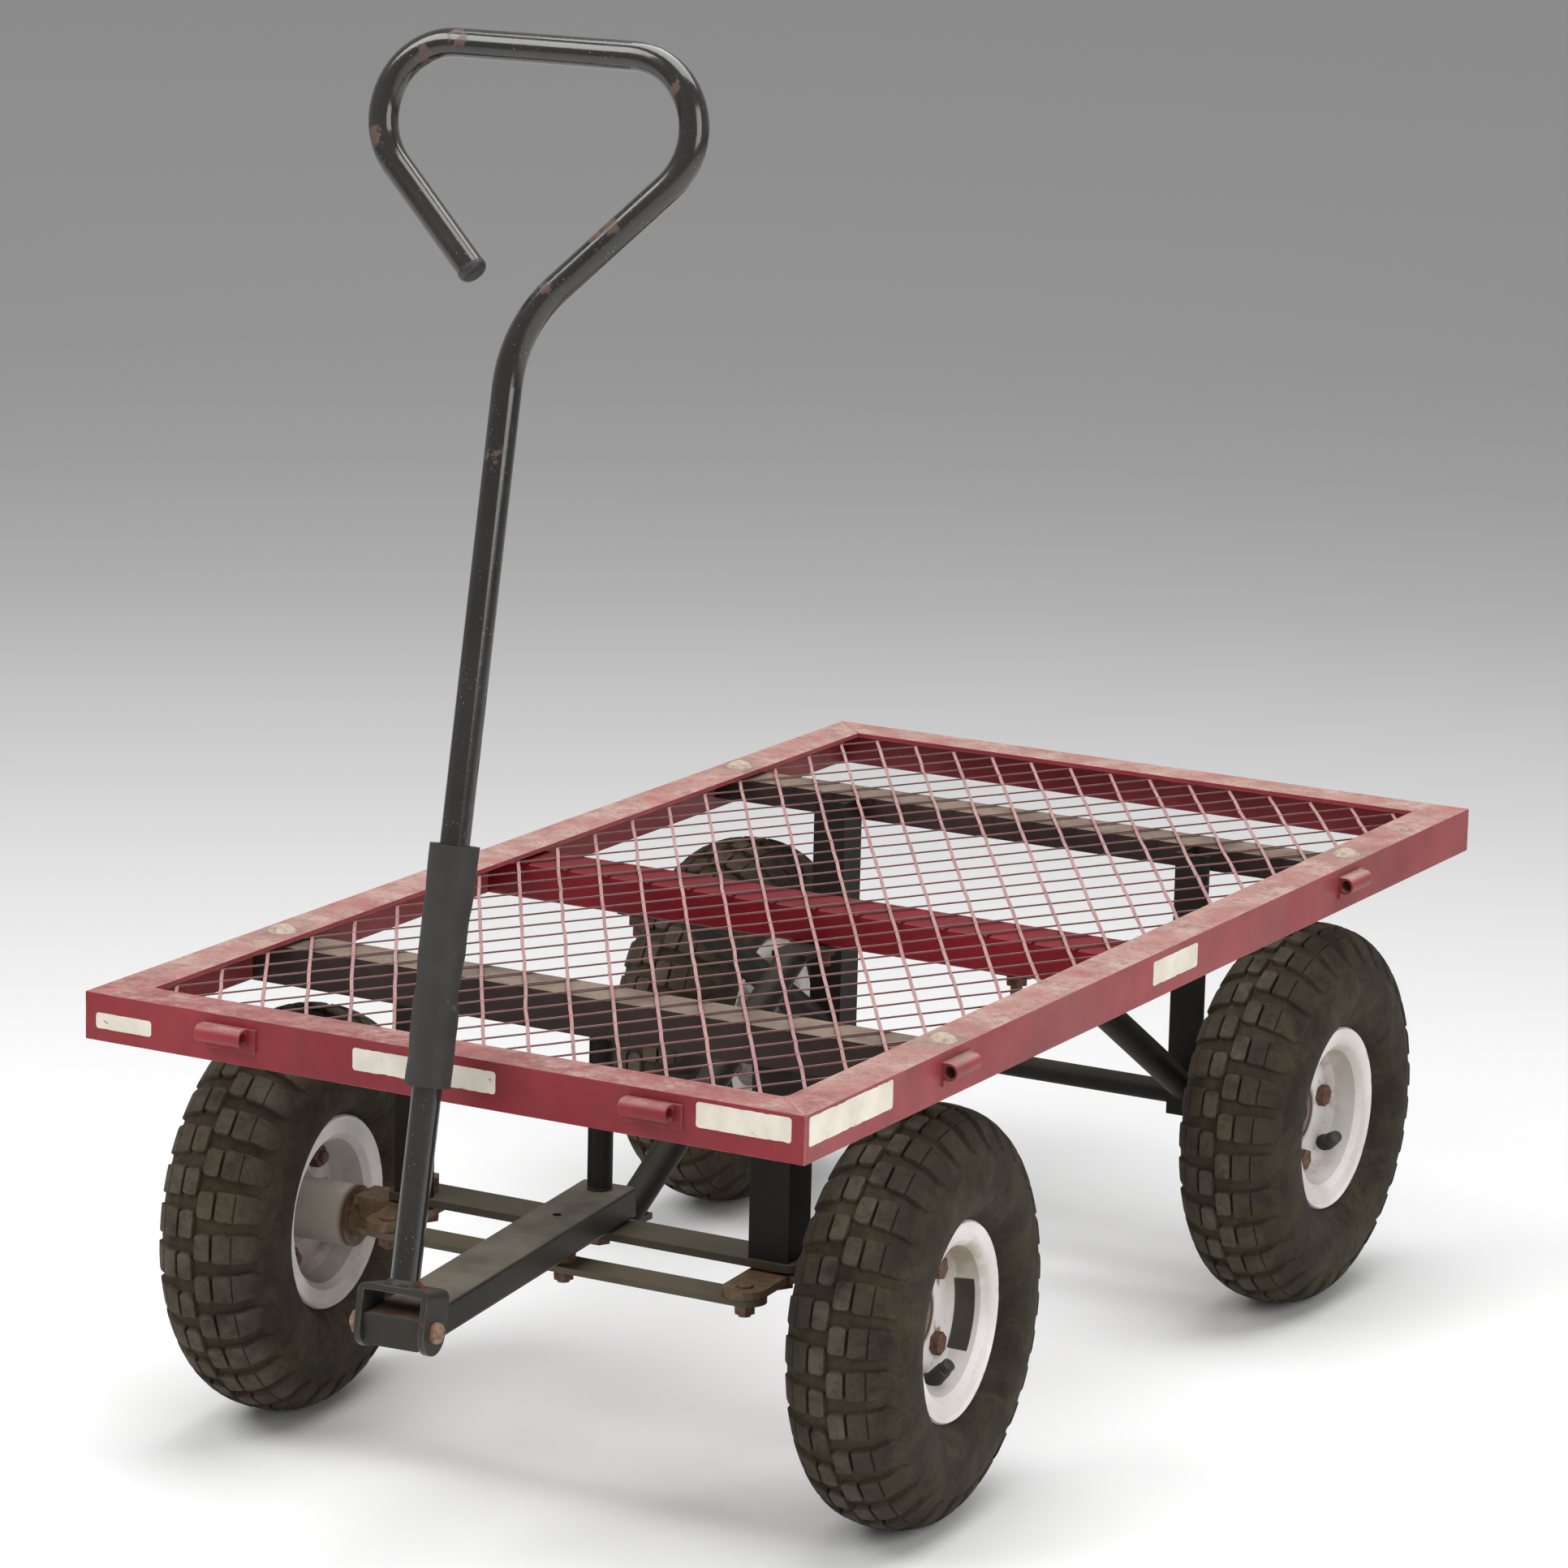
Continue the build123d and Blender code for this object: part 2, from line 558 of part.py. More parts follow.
# Knuckles: a steering arm plate with a boss round the kingpin and a stub axle welded below
BOSS_D = 26.0
ARM_W = 28.0
STUB_START = 148.0
PLATE_END = 174.0
WELD_BLOCK_W = 18.0
TIE_DOME_D = 11.0
TIE_DOME_H = 2.0
plate_top = ARM_PLATE_BOTTOM + ARM_PLATE_T
boss_top = axle_bar_under - FACE_GAP
for side, label in ((-1, "left"), (1, "right")):
    with BuildPart() as knuckle:
        with BuildSketch(level(side * KINGPIN_X, front_axle_y, ARM_PLATE_BOTTOM)):
            with Locations((0, -ARM / 2)):
                SlotCenterToCenter(ARM, ARM_W, rotation=90)
            with Locations((side * (PLATE_END - KINGPIN_X) / 2, 0)):
                Rectangle(PLATE_END - KINGPIN_X, ARM_W)
        extrude(amount=ARM_PLATE_T)
        boss = disc(level(side * KINGPIN_X, front_axle_y, plate_top), BOSS_D)
        extrude(boss, amount=boss_top - plate_top)
        with BuildSketch(level(side * (STUB_START + PLATE_END) / 2, front_axle_y, axle_z)):
            Rectangle(PLATE_END - STUB_START, WELD_BLOCK_W)
        extrude(amount=ARM_PLATE_BOTTOM - axle_z)
        stub = disc(across(side * STUB_START, front_axle_y, axle_z, side), AXLE_D)
        extrude(stub, amount=axle_end_x - STUB_START)
        collar = across(side * collar_face, front_axle_y, axle_z, side)
        extrude(disc(collar, COLLAR_D), amount=-COLLAR_T)
        pin_bore = disc(level(side * KINGPIN_X, front_axle_y, ARM_PLATE_BOTTOM), KINGPIN_D + HOLE_PLAY)
        extrude(pin_bore, amount=boss_top - ARM_PLATE_BOTTOM, mode=Mode.SUBTRACT)
        tie_bore = disc(level(side * KINGPIN_X, tie_y, ARM_PLATE_BOTTOM), TIE_BOLT_D + HOLE_PLAY)
        extrude(tie_bore, amount=ARM_PLATE_T, mode=Mode.SUBTRACT)
        extrude(cotter_hole(side, front_axle_y), amount=2 * AXLE_D, mode=Mode.SUBTRACT)
    save(knuckle, f"{label}_knuckle", side * KINGPIN_X)

    with BuildPart() as tie_bolt:
        seat = level(side * KINGPIN_X, tie_y, plate_top)
        extrude(disc(seat, TIE_DOME_D), amount=TIE_DOME_H)
        fillet(tie_bolt.faces().sort_by(Axis.Z)[-1].edges(), TIE_DOME_H * 0.8)
        extrude(disc(seat, TIE_BOLT_D), amount=tie_bolt_end - plate_top)
        extrude(hexagon(level(side * KINGPIN_X, tie_y, tie_nut_top), TIE_FLATS), amount=-TIE_NUT_H)
    save(tie_bolt, f"{label}_tie_bolt", side * KINGPIN_X)

    with BuildPart() as axle_pin:
        add_axle_pin(side, front_axle_y)
    save(axle_pin, f"{label}_axle_pin", side * KINGPIN_X)

# Handle: everything is drawn on one plane through the pivot that leans back with the pole
lean = math.radians(LEAN)
pole_dir = Vector(0, math.sin(lean), math.cos(lean))
handle_plane = Plane(
    origin=(0, pivot_y, PIVOT_Z), x_dir=(1, 0, 0), z_dir=(0, -math.cos(lean), math.sin(lean))
)
ear_foot = CLEVIS_W / 2
STRAP_BEND = 5.0
roof_top = CLEVIS_ROOF + CLEVIS_T
with BuildPart() as handle_clevis:
    with BuildSketch(handle_plane) as strap:
        with Locations((0, (roof_top - ear_foot) / 2)):
            Rectangle(2 * ear_outer, roof_top + ear_foot)
        fillet(strap.vertices().sort_by(Axis.Y)[-2:], STRAP_BEND)
        with Locations((0, (CLEVIS_ROOF - ear_foot) / 2)):
            Rectangle(2 * ear_inner, CLEVIS_ROOF + ear_foot, mode=Mode.SUBTRACT)
    extrude(amount=CLEVIS_W / 2, both=True)
    ear_corners = handle_clevis.edges().filter_by(Axis.X).filter_by(lambda e: e.length < 2 * CLEVIS_T)
    fillet(ear_corners, CLEVIS_W / 2 - 0.5)
    pin_hole = disc(across(-ear_outer, pivot_y, PIVOT_Z), PIN_D + HOLE_PLAY)
    extrude(pin_hole, amount=2 * ear_outer, mode=Mode.SUBTRACT)
save(handle_clevis, "handle_clevis", 0)

# Tube of the handle: a straight pole that bends out into an open loop, as (x, up the pole)
BEND_AT = 595.0
TOP_BAR = 760.0
LOOP_CORNER = TOP_BAR - BEND_AT
LOOP_GAP = 33.0
LOOP_END = (-LOOP_GAP, BEND_AT + LOOP_GAP)
BEND_R = 85.0
LOOP_R = 44.0
tube_route = [
    (0, roof_top),
    (0, BEND_AT),
    (LOOP_CORNER, TOP_BAR),
    (-LOOP_CORNER, TOP_BAR),
    LOOP_END,
]
with BuildPart() as handle_tube:
    with BuildLine(handle_plane) as route:
        FilletPolyline(*tube_route, radius=[BEND_R, LOOP_R, LOOP_R])
    foot_plane = Plane(origin=handle_plane.from_local_coords((0, roof_top)), z_dir=pole_dir)
    with BuildSketch(foot_plane):
        Circle(POLE_D / 2)
        Circle(POLE_D / 2 - POLE_WALL, mode=Mode.SUBTRACT)
    sweep(path=route.line)
save(handle_tube, "handle_tube", 0)

# Rounded plug that closes the loop's free end
PLUG_DEPTH = 12.0
end_dir = (Vector(*LOOP_END) - Vector(-LOOP_CORNER, TOP_BAR)).normalized()
end_point = handle_plane.from_local_coords(LOOP_END)
end_axis = handle_plane.from_local_coords(Vector(*LOOP_END) + end_dir) - end_point
end_plane = Plane(origin=end_point, z_dir=end_axis)
with BuildPart() as handle_end_plug:
    extrude(disc(end_plane, POLE_D - 2 * POLE_WALL - HOLE_PLAY), amount=-PLUG_DEPTH)
    extrude(disc(end_plane, POLE_D), amount=POLE_D / 3)
    fillet(handle_end_plug.faces().sort_by(Axis(end_point, end_axis))[-1].edges(), POLE_D / 4)
save(handle_end_plug, "handle_end_plug", 0)

# Foam sleeve round the pole, where it would meet the front rail
sleeve_plane = Plane(origin=handle_plane.from_local_coords((0, SLEEVE_FROM)), z_dir=pole_dir)
SLEEVE_ROUND = 1.5
with BuildPart() as foam_sleeve:
    extrude(disc(sleeve_plane, SLEEVE_D, POLE_D + HOLE_PLAY), amount=SLEEVE_TO - SLEEVE_FROM)
    rims = foam_sleeve.edges().filter_by(GeomType.CIRCLE).filter_by(lambda e: e.radius > POLE_D * 0.6)
    fillet(rims, SLEEVE_ROUND)
save(foam_sleeve, "foam_sleeve", 0)

# Handle pin: a domed bolt through the clevis and the tongue's nose, with its nut
PIN_HEAD_D = 13.0
PIN_HEAD_H = 5.0
PIN_NUT_FLATS = 13.0
PIN_NUT_H = 6.5
with BuildPart() as handle_pin:
    extrude(disc(across(ear_outer, pivot_y, PIVOT_Z), PIN_HEAD_D), amount=PIN_HEAD_H)
    fillet(handle_pin.faces().sort_by(Axis.X)[-1].edges(), PIN_HEAD_H * 0.7)
    shank_end = -ear_outer - PIN_NUT_H - 2
    extrude(disc(across(ear_outer, pivot_y, PIVOT_Z), PIN_D), amount=shank_end - ear_outer)
    extrude(hexagon(across(-ear_outer, pivot_y, PIVOT_Z, -1), PIN_NUT_FLATS), amount=PIN_NUT_H)
save(handle_pin, "handle_pin", 0)

# Wheels: each is drawn on an upright plane through its centre, x outboard and y up, and has
# its side, its axle's place, how far its rim bolts stand turned, and the kingpin it steers about
WHEELS = {
    "front_left": (-1, front_axle_y, 30, -KINGPIN_X),
    "front_right": (1, front_axle_y, 46, KINGPIN_X),
    "rear_left": (-1, rear_axle_y, 20, None),
    "rear_right": (1, rear_axle_y, 8, None),
}
# Tyre section, one half: the crown falls to the shoulder, then the wall runs in to the bead
BEAD_R = RIM_BARREL_R + 0.3
BEAD_X = RIM_HALF_W - RIM_T - 0.3
BEAD_W = 7.0
CASING_T = 7.5
LIP = 3.0
SHOULDER = (23.0, 127.5)
TYRE_OUTSIDE = [
    (0, TYRE_R),
    SHOULDER,
    (30.5, 120.5),
    (36.5, 110.0),
    (40.0, 98.0),
    (TYRE_HALF_W, 86.0),
    (39.5, 76.0),
    (34.5, 69.0),
    (BEAD_X, RIM_FLANGE_R + 1),
]
TYRE_INSIDE = [
    (BEAD_X, BEAD_R + LIP),
    (BEAD_X - LIP, BEAD_R),
    (BEAD_X - BEAD_W, BEAD_R),
    (BEAD_X - BEAD_W, RIM_FLANGE_R + 2),
    (TYRE_HALF_W - CASING_T, 84.0),
    (TYRE_HALF_W - 2 * CASING_T, 106.0),
    (SHOULDER[0] - 6, TYRE_R - 2 * CASING_T),
    (0, TYRE_R - CASING_T - 1),
]

# Tread: three grooves round the tyre and side grooves, staggered left to right, between blocks
TREAD_PITCHES = 24
TREAD_DEPTH = 4.0
TREAD_EDGE_R = 110.0
SIDE_GROOVE_SHARE = 0.26
RING_GROOVE_W = 3.5
RING_GROOVE_X = 17.0
crown_fall = (TYRE_R - SHOULDER[1]) / SHOULDER[0]
pitch_angle = 360 / TREAD_PITCHES
clear_r = TYRE_R + 5
SIDE_GROOVE = [
    (0, TYRE_R - TREAD_DEPTH),
    (SHOULDER[0] - 1, SHOULDER[1] - TREAD_DEPTH),
    (33.5, TREAD_EDGE_R),
    (clear_r, TREAD_EDGE_R),
    (clear_r, clear_r),
    (0, clear_r),
]


def side_grooves(side):
    """The grooves of one side of the tread, as solids to cut, all round the X axis."""
    with BuildPart() as groove:
        with BuildSketch(Plane.XY):
            Polygon(*[(side * x, r) for x, r in SIDE_GROOVE], align=None)
        revolve(axis=Axis.X, revolution_arc=SIDE_GROOVE_SHARE * pitch_angle)
    stagger = 0.0 if side > 0 else 0.5
    return [groove.part.rotate(Axis.X, (k + stagger) * pitch_angle) for k in range(TREAD_PITCHES)]


with BuildPart() as tyre_form:
    half_section = TYRE_OUTSIDE + TYRE_INSIDE
    other_half = [(-x, r) for x, r in reversed(half_section[1:-1])]
    with BuildSketch(Plane.XY):
        Polygon(*half_section, *other_half, align=None)
        for groove_x in (-RING_GROOVE_X, 0, RING_GROOVE_X):
            groove_floor = TYRE_R - abs(groove_x) * crown_fall - TREAD_DEPTH
            with Locations((groove_x, groove_floor + TREAD_DEPTH)):
                Rectangle(RING_GROOVE_W, 2 * TREAD_DEPTH, mode=Mode.SUBTRACT)
    revolve(axis=Axis.X)
    add(side_grooves(1) + side_grooves(-1), mode=Mode.SUBTRACT)

# Rim: two pressed halves of sheet steel that meet at the wheel's middle, each with a flat
# disc, a dished step up to the barrel, and a flange with a rolled lip
DISH_R = RIM_BARREL_R - 5
DISH_X = 10.0
DISH_STEP = 1.5


def rim_half(side, inner_r):
    """The section of one rim half, drawn along its inside and thickened outwards."""
    with BuildSketch(Plane.XY) as sheet:
        with BuildLine():
            inside = Polyline(
                (0, inner_r),
                (0, DISH_R),
                (DISH_X - RIM_T, RIM_BARREL_R - DISH_STEP),
                (RIM_HALF_W - LIP - RIM_T, RIM_BARREL_R),
                (RIM_HALF_W - RIM_T, RIM_BARREL_R + LIP),
                (RIM_HALF_W - RIM_T, RIM_FLANGE_R - LIP),
                (RIM_HALF_W, RIM_FLANGE_R),
            )
            offset(inside, amount=RIM_T, side=Side.RIGHT, kind=Kind.INTERSECTION)
        make_face()
    return sheet.sketch if side > 0 else mirror(sheet.sketch, about=Plane.YZ)


for name, (side, y, bolt_turn, kingpin) in WHEELS.items():
    centre = Vector(side * TRACK / 2, y, axle_z)
    upright = Plane(origin=centre, x_dir=(side, 0, 0), z_dir=(0, -side, 0))
    spin = Axis(centre, (1, 0, 0))
    wheel_plane = Plane(origin=centre, x_dir=(0, 0, 1), z_dir=(side, 0, 0))

    with BuildPart() as tyre:
        add(tyre_form.part.moved(upright.location))
    save(tyre, f"{name}_tyre", kingpin)

    for half, half_side in (("outer", 1), ("inner", -1)):
        with BuildPart() as rim:
            with BuildSketch(upright):
                add(rim_half(half_side, HUB_D / 2 + FACE_GAP if half_side > 0 else HUB_D / 2 - RIM_T / 2))
            revolve(axis=spin)
            with BuildSketch(wheel_plane):
                with PolarLocations(RIM_BOLT_CIRCLE_R, RIM_BOLTS, bolt_turn):
                    Circle(M8_HOLE / 2)
            extrude(amount=half_side * 2 * RIM_T, mode=Mode.SUBTRACT)
            if half == "inner":
                hub_section = disc(wheel_plane.offset(-HUB_INBOARD), HUB_D, HUB_BORE)
                extrude(hub_section, amount=HUB_INBOARD + HUB_OUTBOARD)
        save(rim, f"{name}_{half}_rim", kingpin)

    with BuildPart() as bearings:
        for offset_x in (-HUB_INBOARD, HUB_OUTBOARD - BEARING_RECESS - BEARING_W):
            ring = disc(wheel_plane.offset(offset_x), HUB_BORE - HOLE_PLAY / 2, BEARING_BORE)
            extrude(ring, amount=BEARING_W)
    save(bearings, f"{name}_bearings", kingpin)

    with BuildPart() as rim_bolts:
        for spot in PolarLocations(RIM_BOLT_CIRCLE_R, RIM_BOLTS, bolt_turn):
            bolt_plane = Plane(wheel_plane.location * spot)
            extrude(hexagon(bolt_plane.offset(RIM_T), M8_FLATS), amount=M8_HEAD_H)
            extrude(disc(bolt_plane.offset(RIM_T), M8), amount=-2 * RIM_T - M8_NUT_H - M8_TAIL)
            extrude(hexagon(bolt_plane.offset(-RIM_T), M8_FLATS), amount=-M8_NUT_H)
    save(rim_bolts, f"{name}_rim_bolts", kingpin)
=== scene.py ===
import json
import math

import bpy
from mathutils import Matrix, Vector, noise

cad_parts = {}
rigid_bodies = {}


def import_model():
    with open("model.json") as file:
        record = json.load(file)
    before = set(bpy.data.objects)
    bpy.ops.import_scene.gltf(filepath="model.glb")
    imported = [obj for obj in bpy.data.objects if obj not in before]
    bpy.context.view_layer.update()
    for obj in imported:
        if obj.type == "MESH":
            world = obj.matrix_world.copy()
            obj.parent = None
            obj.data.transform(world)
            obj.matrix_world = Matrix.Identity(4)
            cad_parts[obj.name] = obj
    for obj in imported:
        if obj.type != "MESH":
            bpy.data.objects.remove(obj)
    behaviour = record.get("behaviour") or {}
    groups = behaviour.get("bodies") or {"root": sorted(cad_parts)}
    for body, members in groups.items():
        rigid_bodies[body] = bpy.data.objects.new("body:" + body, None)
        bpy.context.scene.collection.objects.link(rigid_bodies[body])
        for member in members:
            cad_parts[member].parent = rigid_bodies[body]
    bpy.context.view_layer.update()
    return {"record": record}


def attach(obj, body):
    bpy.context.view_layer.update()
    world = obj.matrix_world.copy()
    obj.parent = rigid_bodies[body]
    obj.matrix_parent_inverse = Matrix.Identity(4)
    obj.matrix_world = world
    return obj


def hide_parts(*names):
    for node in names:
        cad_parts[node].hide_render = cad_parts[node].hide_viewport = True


# Hand wagon, dressed. Metres, +Z up, ground at Z = 0, handle end towards -Y.
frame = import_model()

# Measures that the solids are drawn from
STEER = math.radians(4.0)
DECK_Y = 0.034236
DECK_W, DECK_L, DECK_TOP = 0.508, 0.965, 0.312
RAIL, RAIL_T, MESH_T = 0.030, 0.003, 0.0025
FRONT_AXLE_Y, REAR_AXLE_Y = DECK_Y - 0.287, DECK_Y + 0.275
TRACK, KINGPIN_X = 0.447, 0.130
TYRE_R = 0.1325
PIVOT = Vector((0.0, DECK_Y - 0.547, 0.160))
LEAN = math.radians(12.5)
POLE_R = 0.0090
CLEVIS_TOP = 0.025
RIM_DISH_R, RIM_BOLT_R, HUB_R = 0.0450, 0.0345, 0.0240


def steering(kingpin):
    """The turn that the steering makes at rest, about an upright axis through a kingpin."""
    axle = Vector((kingpin, FRONT_AXLE_Y, 0))
    return Matrix.Translation(axle) @ Matrix.Rotation(STEER, 4, "Z") @ Matrix.Translation(-axle)


# Each wheel's side and its place: the wheel's own axes, at its centre
WHEELS = {
    f"{end}_{hand}": (side, turn @ Matrix.Translation((side * TRACK / 2, y, TYRE_R)))
    for hand, side in (("left", -1), ("right", 1))
    for end, y, turn in (
        ("front", FRONT_AXLE_Y, steering(side * KINGPIN_X)),
        ("rear", REAR_AXLE_Y, Matrix.Identity(4)),
    )
}

# Handle plane: x across, along up the leaning pole, out towards the front, steered as it stands
UP_POLE = Vector((0, math.sin(LEAN), math.cos(LEAN)))
OUT_POLE = Vector((0, -math.cos(LEAN), math.sin(LEAN)))


def on_handle(x, along, out=0.0):
    """A place on the handle, measured in its own plane."""
    return steering(0.0) @ (PIVOT + Vector((x, 0, 0)) + UP_POLE * along + OUT_POLE * out)


# Places that stain or rust: the carriage bolts, the front flange, the tongue's front end, the
# kingpins, and spots on the handle's bends
CARRIAGE_BOLTS = [
    (x, y, DECK_TOP) for x in (-0.240, 0.240) for y in (FRONT_AXLE_Y, REAR_AXLE_Y + 0.0275)
]
FRONT_FLANGE = [(0.06 * step, DECK_Y - DECK_L / 2 + RAIL / 2, DECK_TOP) for step in range(-4, 5)]
TONGUE_TIP = [on_handle(0.0, 0.013, 0.0)]
KINGPINS = [(side * KINGPIN_X, FRONT_AXLE_Y, 0.150) for side in (-1, 1)]
RUST_SPOTS = [
    on_handle(x, along, 0.008)
    for x, along in (
        (-0.055, 0.762), (-0.078, 0.752), (-0.102, 0.700), (0.088, 0.744), (0.060, 0.660),
        (0.050, 0.650), (0.000, 0.520), (0.020, 0.617),
    )
]


# Node helpers
def srgb(r, g, b):
    """An sRGB colour, 0 to 255, as the linear colour that a node takes."""
    def line(c):
        c /= 255
        return c / 12.92 if c <= 0.04045 else ((c + 0.055) / 1.055) ** 2.4

    return (line(r), line(g), line(b), 1.0)


class Nodes:
    """A material's node tree with short calls for the nodes it uses."""

    def __init__(self, name):
        self.mat = bpy.data.materials.new(name)
        self.mat.use_nodes = True
        self.tree = self.mat.node_tree
        self.bsdf = self.tree.nodes["Principled BSDF"]
        coords = self.tree.nodes.new("ShaderNodeTexCoord")
        self.place = coords.outputs["Object"]
        geometry = self.tree.nodes.new("ShaderNodeNewGeometry")
        self.normal = geometry.outputs["Normal"]

    def link(self, a, b):
        if isinstance(a, (int, float, tuple)):
            b.default_value = a
        else:
            self.tree.links.new(a, b)

    def noise(self, scale, detail=4.0, rough=0.55, warp=0.0, place=None):
        n = self.tree.nodes.new("ShaderNodeTexNoise")
        n.inputs["Scale"].default_value = scale
        n.inputs["Detail"].default_value = detail
        n.inputs["Roughness"].default_value = rough
        n.inputs["Distortion"].default_value = warp
        self.link(place or self.place, n.inputs["Vector"])
        return n.outputs["Fac"]

    def cells(self, scale):
        n = self.tree.nodes.new("ShaderNodeTexVoronoi")
        n.inputs["Scale"].default_value = scale
        self.link(self.place, n.inputs["Vector"])
        return n.outputs["Distance"]

    def ramp(self, value, low, high):
        n = self.tree.nodes.new("ShaderNodeMapRange")
        n.inputs["From Min"].default_value = low
        n.inputs["From Max"].default_value = high
        self.link(value, n.inputs["Value"])
        return n.outputs["Result"]

    def stops(self, value, colours):
        """A colour that runs smoothly through some stops, as (place from 0 to 1, colour)."""
        n = self.tree.nodes.new("ShaderNodeValToRGB")
        marks = n.color_ramp.elements
        while len(marks) < len(colours):
            marks.new(0.5)
        for mark, (place, colour) in zip(marks, colours):
            mark.position, mark.color = place, colour
        self.link(value, n.inputs["Fac"])
        return n.outputs["Color"]

    def math(self, kind, a, b=0.0):
        n = self.tree.nodes.new("ShaderNodeMath")
        n.operation = kind
        n.use_clamp = kind in ("MULTIPLY", "ADD")
        self.link(a, n.inputs[0])
        self.link(b, n.inputs[1])
        return n.outputs[0]

    def mix(self, fac, a, b):
        n = self.tree.nodes.new("ShaderNodeMix")
        n.data_type = "RGBA"
        self.link(fac, n.inputs["Factor"])
        self.link(a, n.inputs["A"])
        self.link(b, n.inputs["B"])
        return n.outputs["Result"]

    def part(self, vector, axis):
        n = self.tree.nodes.new("ShaderNodeSeparateXYZ")
        self.link(vector, n.inputs[0])
        return n.outputs[axis]

    def vector(self, kind, a, b=(0.0, 0.0, 0.0)):
        """A vector sum: a number for a length or a dot product, and a vector for the others."""
        n = self.tree.nodes.new("ShaderNodeVectorMath")
        n.operation = kind
        self.link(a, n.inputs[0])
        self.link(b, n.inputs[1])
        return n.outputs["Value" if kind in ("LENGTH", "DOT_PRODUCT") else "Vector"]

    def from_point(self, point):
        """The way from a point to the place that is shaded."""
        return self.vector("SUBTRACT", self.place, tuple(point))

    def near(self, points, inner, outer):
        """1 close to any of some points, falling to 0 further out."""
        mask = 0.0
        for point in points:
            spot = self.ramp(self.vector("LENGTH", self.from_point(point)), outer, inner)
            mask = self.math("MAXIMUM", spot, mask)
        return mask

    def edge(self, radius):
        """1 along edges and corners, 0 on open faces."""
        bevel = self.tree.nodes.new("ShaderNodeBevel")
        bevel.inputs["Radius"].default_value = radius
        return self.ramp(self.vector("DOT_PRODUCT", bevel.outputs["Normal"], self.normal), 0.98, 0.78)

    def attribute(self, name):
        n = self.tree.nodes.new("ShaderNodeAttribute")
        n.attribute_name = name
        return n.outputs["Fac"]

    def bump(self, height, strength, depth=0.001):
        n = self.tree.nodes.new("ShaderNodeBump")
        n.inputs["Strength"].default_value = strength
        n.inputs["Distance"].default_value = depth
        self.link(height, n.inputs["Height"])
        self.link(n.outputs["Normal"], self.bsdf.inputs["Normal"])

    def done(self, colour, rough, metal=0.0, spec=0.5):
        self.link(colour, self.bsdf.inputs["Base Color"])
        self.link(rough, self.bsdf.inputs["Roughness"])
        self.link(metal, self.bsdf.inputs["Metallic"])
        self.bsdf.inputs["Specular IOR Level"].default_value = spec
        return self.mat


def upward(n):
    """How much a face looks up, 0 to 1: where dust settles, and where a dark dust colour paints shade."""
    return n.ramp(n.part(n.normal, "Z"), 0.55, 0.95)


def paint(
    name, deep, worn, dust, dust_and_shade_share, rust_low, rust_high, rough, edge=None, spec=0.2, haze=0.0, spots=(),
):
    """Old paint: patchy colour, dust on faces that look up (painted shade there when the dust colour is
    dark), rust specks, worn edges and stained spots.
    """
    n = Nodes(name)
    colour = n.mix(n.ramp(n.noise(9.0), 0.35, 0.7), deep, worn)
    if haze:
        faded = n.math("ADD", n.ramp(n.part(n.normal, "X"), 0.2, 1.0), 0.3)
        faded = n.math("MULTIPLY", faded, n.ramp(n.noise(12.0, 5.0), 0.15, 0.75))
        colour = n.mix(n.math("MULTIPLY", faded, haze), colour, dust)
    grime = n.ramp(n.noise(38.0, 6.0, 0.65), 0.45, 0.75)
    colour = n.mix(n.math("MULTIPLY", grime, 0.35), colour, srgb(52, 38, 34))
    # Dust on faces that look up; a dark dust colour makes this painted shade on the tops
    top_dust_and_shade = n.math("MULTIPLY", upward(n), n.ramp(n.noise(26.0, 6.0), 0.15, 0.6))
    top_dust_and_shade = n.math("MULTIPLY", top_dust_and_shade, dust_and_shade_share)
    colour = n.mix(top_dust_and_shade, colour, dust)
    speck = n.ramp(n.noise(300.0, 3.0), 0.60, 0.72)
    colour = n.mix(n.math("MULTIPLY", n.math("MULTIPLY", speck, top_dust_and_shade), 0.7), colour, deep)
    if haze:
        mottle = n.math("MULTIPLY", n.ramp(n.noise(48.0, 8.0, 0.75), 0.47, 0.64), top_dust_and_shade)
        colour = n.mix(n.math("MULTIPLY", mottle, 0.65), colour, srgb(112, 82, 74))
        grain = n.math("MULTIPLY", n.ramp(n.noise(210.0, 5.0, 0.7), 0.50, 0.62), top_dust_and_shade)
        colour = n.mix(n.math("MULTIPLY", grain, 0.45), colour, srgb(92, 58, 54))
    for points, inner, outer, tint in spots:
        blotch = n.ramp(n.noise(85.0, 7.0, 0.7), 0.36, 0.60)
        stained = n.math("MULTIPLY", n.near(points, inner, outer), blotch)
        stained = n.math("MULTIPLY", stained, n.ramp(n.part(n.normal, "Z"), 0.5, 0.9))
        colour = n.mix(stained, colour, tint)
    if edge:
        chipped = n.math("MULTIPLY", n.edge(0.0012), n.ramp(n.noise(95.0, 5.0), 0.38, 0.62))
        colour = n.mix(n.math("MULTIPLY", chipped, 0.7), colour, edge)
    rust = n.ramp(n.noise(55.0, 8.0, 0.7, 0.4), rust_low, rust_high)
    rust_colour = n.mix(n.noise(170.0), srgb(70, 36, 22), srgb(150, 82, 44))
    colour = n.mix(rust, colour, rust_colour)
    gloss = n.math("ADD", n.math("MULTIPLY", top_dust_and_shade, 0.4), rough)
    gloss = n.math("ADD", gloss, n.math("MULTIPLY", rust, 0.3))
    n.bump(n.math("ADD", n.noise(420.0, 3.0), rust), 0.12)
    return n.done(colour, gloss, 0.0, spec)


